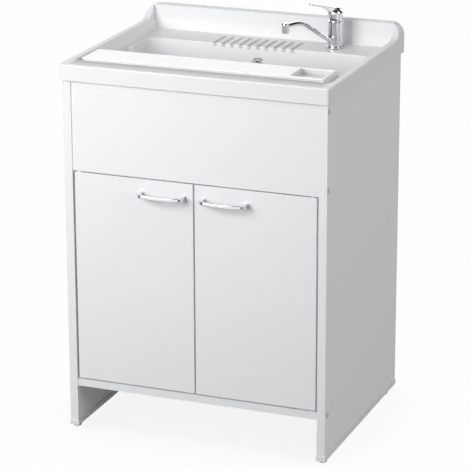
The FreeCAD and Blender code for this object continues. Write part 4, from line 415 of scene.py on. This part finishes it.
# Each board's raw edges and banded edges, as the sides of the cabinet they face
BOARDS = {
    "left_side_panel": ("Y+ Z+", "Y-"),
    "right_side_panel": ("Y+ Z+", "Y-"),
    "base_panel": ("Y+", "Y-"),
    "front_panel": ("Z+", "Z-"),
    "rear_top_rail": ("Z+ Z-", ""),
    "rear_bottom_rail": ("Z-", "Z+"),
    "left_door": ("", "X- X+ Z- Z+"),
    "right_door": ("", "X- X+ Z- Z+"),
}
# The basin's drainer flutes, whose floors get painted shade
DRAINER_FLUTES = Grooves(
    first=-0.103, pitch=0.0202, number=10, front=0.130, back=0.216, bottom=0.7850, top=0.7936)
# Painted shadow of the washboard on the basin's front rim, darkest next to the board
RIM_PAINTED_SHADOW = Film(low=(-0.282, -0.2300, 0.8150), high=(0.282, -0.1800, 0.8180), strength=0.95)
# Darkens the washboard's soap tray, most at its back
SOAP_TRAY_DARKENING = Film(low=(0.190, -0.180, 0.807), high=(0.265, -0.105, 0.8195), strength=0.5)


def dress():
    """Gives each node its own finish, or its board's, or that of its slot."""
    slot_finish = {
        "trim_plastic": matte("trim_plastic", (0.80, 0.81, 0.83), rough=0.42),
        "foot_plastic": matte("foot_plastic", (0.13, 0.13, 0.135), rough=0.45),
        "chrome_plate": plated("chrome_plate", (0.80, 0.81, 0.825), rough=0.04),
        "steel_fittings": zinc("zinc_steel"),
        "tap_brass": turned_brass("tap_brass"),
        "cartridge_plastic": matte("cartridge_plastic", (0.45, 0.47, 0.47), rough=0.5),
        "seal_rubber": rubber("seal_rubber"),
        "pipe_plastic": matte(
            "pipe_plastic", (0.74, 0.75, 0.74), rough=0.38, grain=300.0, depth=0.0001),
        "dowel_wood": beech("dowel_wood"),
        "magnet_iron": ferrite("magnet_iron"),
    }
    own_finish = {
        "washboard": moulded(
            "washboard_plastic", (0.91, 0.915, 0.92), gloss=0.2, wave=0.0001, darkening=SOAP_TRAY_DARKENING),
        "basin": moulded(
            "basin_gloss_plastic", (0.81, 0.82, 0.83), gloss=0.34, shine=0.3, coat=0.04,
            grooves=DRAINER_FLUTES, darkening=RIM_PAINTED_SHADOW),
        "overflow_rosette": plated("rosette_plate", (0.86, 0.865, 0.87), rough=0.3),
        # The caps' darker grey is painted shade, standing in for their small shadows
        "screw_caps": matte("cap_plastic", (0.58, 0.59, 0.61), rough=0.4),
    }
    slot_of = {part["node"]: part["material_slot"] for part in frame["record"]["subparts"]}
    for name, node in nodes.items():
        node.data.materials.clear()
        if name in BOARDS:
            node.data.materials.append(melamine(name, *BOARDS[name]))
        else:
            node.data.materials.append(own_finish.get(name) or slot_finish[slot_of[name]])


# Floor, room, lights and camera

FLOOR_SIZE = 14.0

# The share of white glow in what the camera sees of the floor, which is grey for light that bounces
FLOOR_GLOW = 0.99

# How far from the floor a piece still shades it
CONTACT_REACH = 0.3
REFLECTION_PATCH_DARKNESS = 0.92


def lay_floor():
    """A plain pale floor with a soft contact shade round what stands on it."""
    bpy.ops.mesh.primitive_plane_add(size=FLOOR_SIZE, location=(0.0, 0.0, 0.0))
    floor = bpy.context.object
    floor.name = "studio_floor"
    finish = Finish("studio_floor", grey(0.8), roughness=0.9)
    finish.set("Base Color", finish.mix(finish.noise(scale=6.0), grey(0.15), grey(0.17)))
    glossy = finish.ray("Is Glossy Ray")
    seen = finish.ray("Is Camera Ray").math("MAXIMUM", glossy)
    seen = seen.math("MAXIMUM", finish.ray("Is Transmission Ray"))
    openness = finish.node(
        "ShaderNodeAmbientOcclusion", {"samples": 16}, {"Distance": CONTACT_REACH}, "AO")
    contact = finish.rise(openness, low=0.1, high=0.9, start=0.90)

    # A dark patch on the floor close to the front, painted only into reflections in polished metal
    y = finish.axis("Y")
    reflection_patch = finish.rise(y, low=-1.2, high=-0.95) * finish.fall(y, low=-0.30, high=-0.25) * glossy
    tint = finish.mix(contact * (1.0 - reflection_patch * REFLECTION_PATCH_DARKNESS), grey(0.0), grey(1.0))
    glow = finish.node("ShaderNodeEmission", values={"Color": tint, "Strength": 1.0})
    lit = Flow(finish, finish.shader.outputs[0])
    both = finish.node("ShaderNodeMixShader", values={0: seen * FLOOR_GLOW, 1: lit, 2: glow})
    finish.feed(finish.tree.nodes["Material Output"].inputs["Surface"], both)
    floor.data.materials.append(finish.material)
    bpy.ops.object.transform_apply(location=True, rotation=True, scale=True)


def light_room():
    """A white room that is soft as a lamp, and darker above and at the sides in polished metal."""
    world = bpy.data.worlds.new("studio")
    bpy.context.scene.world = world
    world.use_nodes = True
    room = Nodes(world.node_tree, "Generated")
    seen = room.ray("Is Camera Ray").math("MAXIMUM", room.ray("Is Transmission Ray"))
    glossy = room.ray("Is Glossy Ray")
    height = room.axis("Z")
    ceiling = room.rise(height, low=0.12, high=0.42, start=1.0, end=0.06)
    screens = room.rise(abs(room.axis("X")), low=0.5, high=0.72, start=1.0, end=0.1)
    soft = room.rise(height, low=0.0, high=0.5, start=0.06, end=0.36)
    level = soft * (1.0 - seen - glossy) + seen + ceiling * screens * glossy
    background = room.tree.nodes["Background"]
    room.feed(background.inputs["Strength"], level)
    room.feed(background.inputs["Color"], grey(1.0))


# Each softbox: its width and height, its power, its place, and the point it faces
SOFTBOXES = {
    "key_light": ((1.8, 1.2), 57.5, (-1.0, -2.2, 1.55), (0.0, -0.2, 0.80)),
    "side_light": ((1.8, 2.4), 34.0, (3.4, -1.0, 1.9), (0.0, 0.0, 0.5)),
    "top_light": ((2.0, 2.0), 3.0, (-0.4, 0.3, 3.2), (0.0, 0.0, 0.8)),
    "rear_light": ((1.8, 0.9), 6.0, (-1.05, 2.7, 1.75), (0.0, 0.0, 0.82)),
    "back_fill": ((1.8, 1.8), 20.0, (2.0, 3.2, 2.7), (0.0, 0.2, 0.5)),
}


def hang_softbox(name, size, power, place, target):
    """A rectangular lamp that faces a point."""
    lamp = bpy.data.lights.new(name, "AREA")
    lamp.shape = "RECTANGLE"
    lamp.size, lamp.size_y = size
    lamp.energy = power
    softbox = bpy.data.objects.new(name, lamp)
    bpy.context.scene.collection.objects.link(softbox)
    softbox.location = place
    softbox.rotation_euler = (Vector(target) - Vector(place)).to_track_quat("-Z", "Y").to_euler()


# The photo's camera, as solved from its corner points: lengths in mm and metres, turns in degrees
SENSOR_WIDTH = 36.0
LENS_LENGTH = 182.9
CAMERA_PLACE = (1.8131, -4.6172, 2.008)
CAMERA_HEADING = 21.412
CAMERA_DROP = 17.912
CAMERA_ROLL = -0.17


def turned(axis, degrees):
    """A turn about an axis."""
    return Quaternion(axis, math.radians(degrees))


def set_camera():
    """Puts the camera where the photo was taken from."""
    lens = bpy.data.cameras.new("photo_camera")
    lens.sensor_width = SENSOR_WIDTH
    lens.lens = LENS_LENGTH
    lens.clip_end = 100.0
    camera = bpy.data.objects.new("photo_camera", lens)
    bpy.context.scene.collection.objects.link(camera)
    right, up = (1, 0, 0), (0, 0, 1)
    camera.rotation_mode = "QUATERNION"
    camera.rotation_quaternion = (
        turned(up, CAMERA_HEADING) @ turned(right, 90 - CAMERA_DROP) @ turned(up, CAMERA_ROLL))
    camera.location = CAMERA_PLACE
    bpy.context.scene.camera = camera


dress()
lay_floor()
light_room()
for name, settings in SOFTBOXES.items():
    hang_softbox(name, *settings)
set_camera()
bpy.context.scene.view_settings.view_transform = "Standard"
